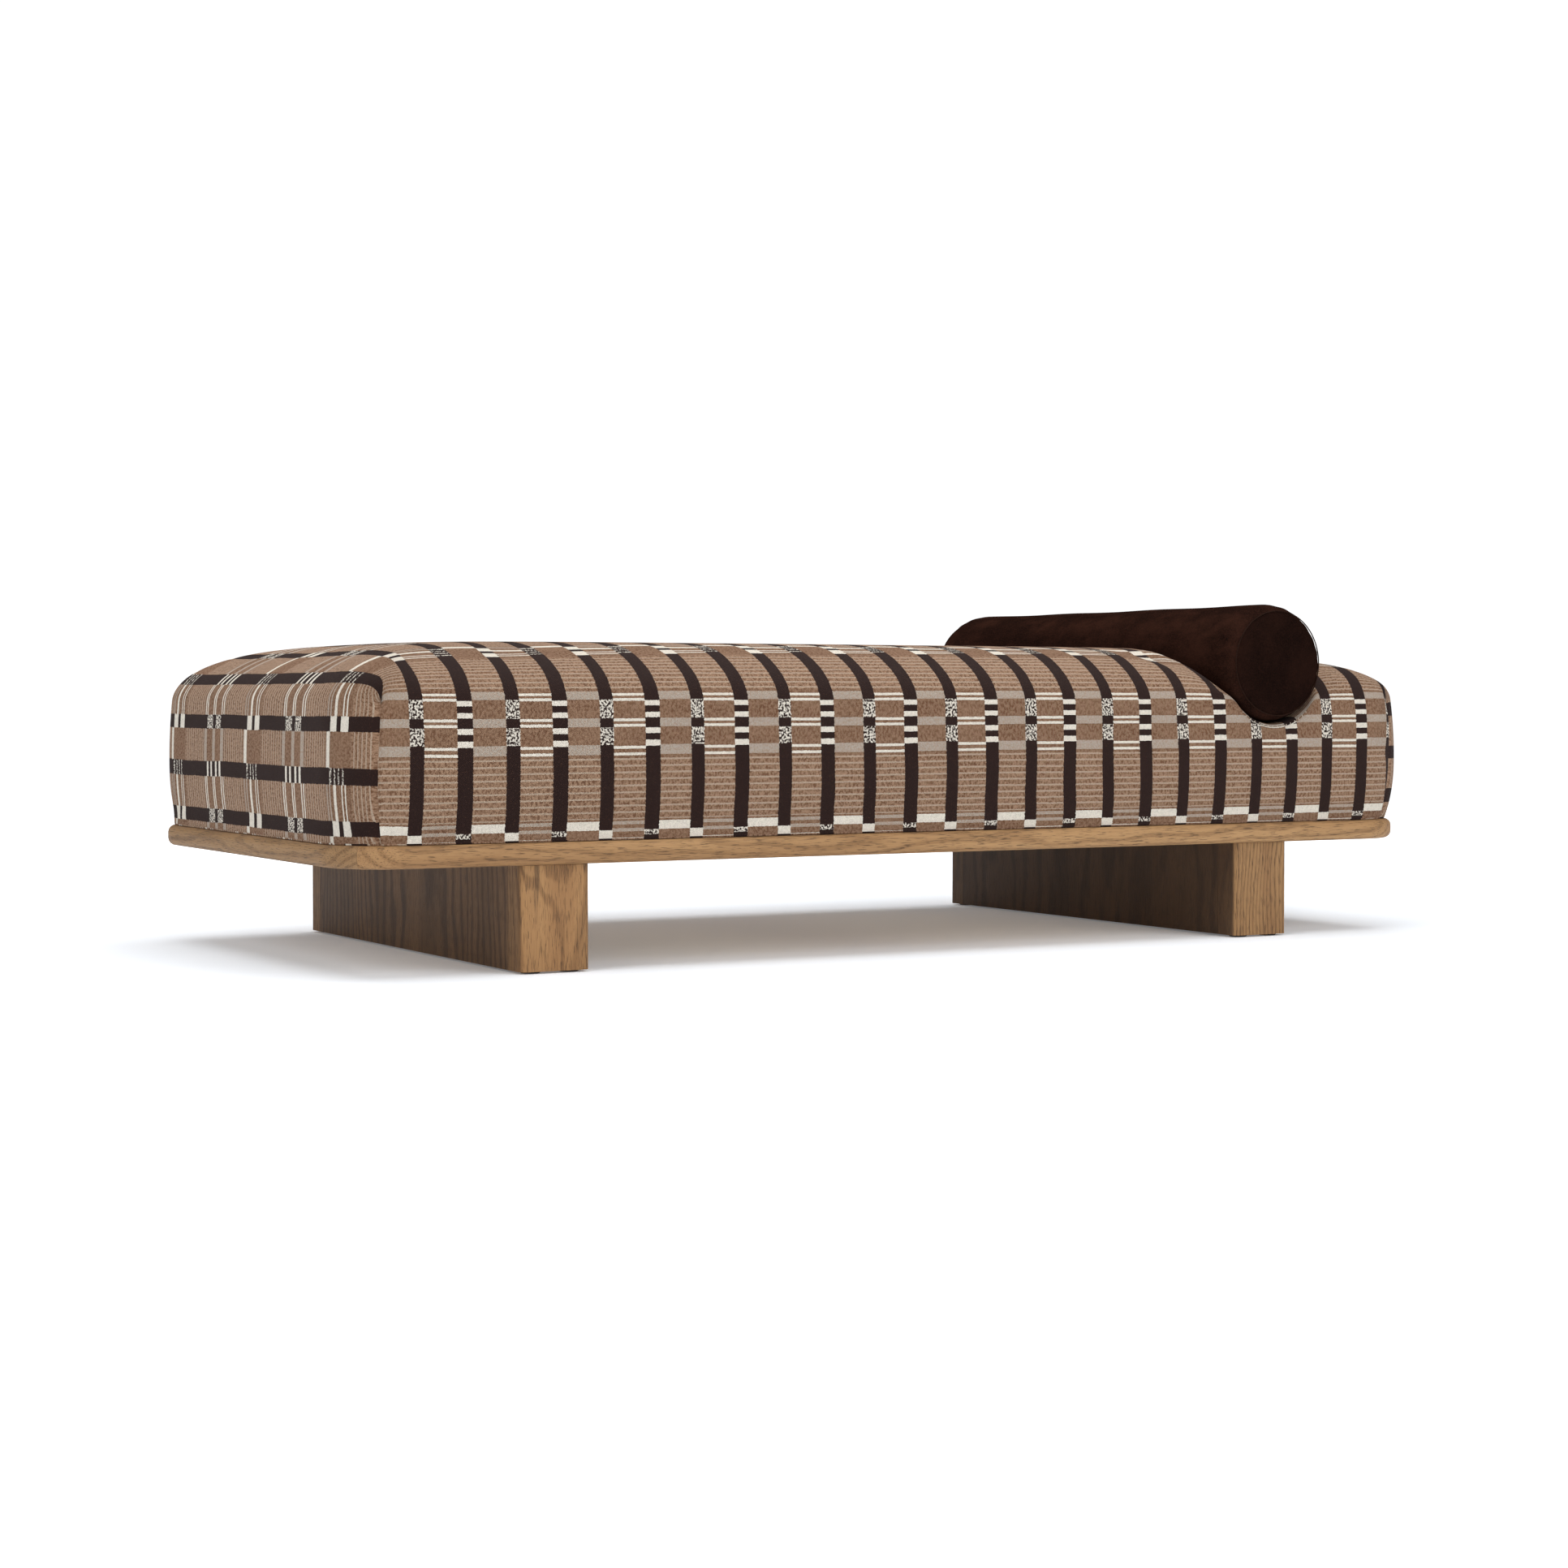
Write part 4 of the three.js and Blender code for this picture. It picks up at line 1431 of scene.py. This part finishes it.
@dataclass
class Studio:
    """Plain pale floor that glows, less near the bed as painted shade, soft lights, a white backdrop
    and the camera.
    """

    eye: Vector = field(default_factory=lambda: Vector((-2.44441, -4.30693, 0.41194)))
    pitch: float = 88.24
    yaw: float = -29.35
    lens: float = 65.52
    floor_size: float = 30.0
    ambient: float = 0.30
    # painted light: the floor's own glow, weak near the bed as painted shade and strong further out
    near_glow: Colour = (0.14, 0.142, 0.146, 1.0)
    far_glow: Colour = (0.75, 0.75, 0.75, 1.0)
    glow_reach: Span = (0.7, 3.0)
    glow_squeeze: float = 0.62
    backdrop: float = 1.05

    def camera(self) -> None:
        """Places the camera."""
        data = bpy.data.cameras.new("camera")
        data.sensor_width = SENSOR_WIDTH
        data.lens = self.lens
        data.clip_start = 0.05
        data.clip_end = 200.0
        camera = bpy.data.objects.new("camera", data)
        camera.location = self.eye
        camera.rotation_euler = Euler((math.radians(self.pitch), 0.0, math.radians(self.yaw)))
        bpy.context.scene.collection.objects.link(camera)
        bpy.context.scene.camera = camera

    def soft_box(self, name: str, place: Sequence[float], size: float, power: float) -> None:
        """Hangs one square lamp that faces the bed.

        Args:
            name: Its name.
            place: Where it hangs.
            size: Its side.
            power: Watts.
        """
        data = bpy.data.lights.new(name, "AREA")
        data.shape = "SQUARE"
        data.size = size
        data.energy = power
        lamp = bpy.data.objects.new(name, data)
        lamp.location = place
        aim = Vector((0.0, 0.0, 0.3)) - Vector(place)
        lamp.rotation_euler = aim.to_track_quat("-Z", "Y").to_euler()
        bpy.context.scene.collection.objects.link(lamp)

    def floor(self) -> None:
        """Lays the pale floor, which glows like a lamp: faintly near the bed, which paints shade round
        it, and brighter further out.
        """
        mesh = bmesh.new()
        bmesh.ops.create_grid(mesh, x_segments=1, y_segments=1, size=self.floor_size)
        graph = Graph("pale_floor")
        axes = graph.place()
        tint = graph.noise(axes, Speckle((3.0, 3.0, 3.0)))
        colour = graph.wash(linear(242, 247, 253), tint, Wash(0.3, 0.7), linear(245, 249, 254))
        # painted light: the floor glows, less near the bed, which paints a shadow round it
        x, y, _ = axes
        away = ((x * self.glow_squeeze) ** 2.0 + y**2.0) ** 0.5
        glow = graph.mix(away.ease(*self.glow_reach), self.near_glow, self.far_glow)
        material = graph.finish(
            Base_Color=colour,
            Roughness=0.9,
            Specular_IOR_Level=0.1,
            Emission_Color=glow,
            Emission_Strength=1.0,
        )
        settle("floor", mesh, material)

    def build(self) -> None:
        """Sets up the whole studio."""
        self.camera()
        self.floor()
        world = bpy.data.worlds.new("studio")
        world.use_nodes = True
        background = world.node_tree.nodes["Background"]
        background.inputs["Color"].default_value = (1.0, 1.0, 1.0, 1.0)
        path = world.node_tree.nodes.new("ShaderNodeLightPath")
        glow = world.node_tree.nodes.new("ShaderNodeMath")
        glow.operation = "MULTIPLY_ADD"
        glow.inputs[1].default_value = self.backdrop - self.ambient
        glow.inputs[2].default_value = self.ambient
        world.node_tree.links.new(path.outputs["Is Camera Ray"], glow.inputs[0])
        world.node_tree.links.new(glow.outputs[0], background.inputs["Strength"])
        bpy.context.scene.world = world
        self.soft_box("key", (1.8, -4.6, 3.4), size=3.0, power=100.0)
        self.soft_box("left", (-4.6, -1.6, 3.2), size=3.0, power=80.0)
        self.soft_box("top", (0.0, 0.2, 4.0), size=5.0, power=185.0)
        bpy.context.scene.view_settings.view_transform = "Standard"
        bpy.context.scene.view_settings.look = "None"


def main() -> None:
    """Builds the daybed's looks in order."""
    logging.basicConfig(level=logging.INFO, format="%(name)s: %(message)s")
    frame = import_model()
    nodes = frame["nodes"]
    Studio().build()
    Woodwork(nodes).dress()
    Fittings(nodes).dress()
    weave = StripedWeave().make()
    thread = PlainFinish(
        "pale_thread",
        linear(226, 214, 196),
        linear(180, 164, 144),
        grit=1500.0,
        roughness=0.8,
        shine=0.1,
    ).make()
    velvet = Velvet().make()
    cord = PlainFinish(
        "seam_cord", linear(30, 19, 15), linear(48, 31, 24), grit=1500.0, roughness=0.95, shine=0.02
    ).make()
    cover_low, cover_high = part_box("mattress_cover")
    tube_low, tube_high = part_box("bolster_tube")
    front_low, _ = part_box("bolster_end_front")
    _, back_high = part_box("bolster_end_back")
    Mattress(weave, thread, cover_low, cover_high, tube_low, tube_high).build()
    Bolster(velvet, cord, tube_low, tube_high, front_low, back_high).build()


if __name__ == "__main__":
    main()
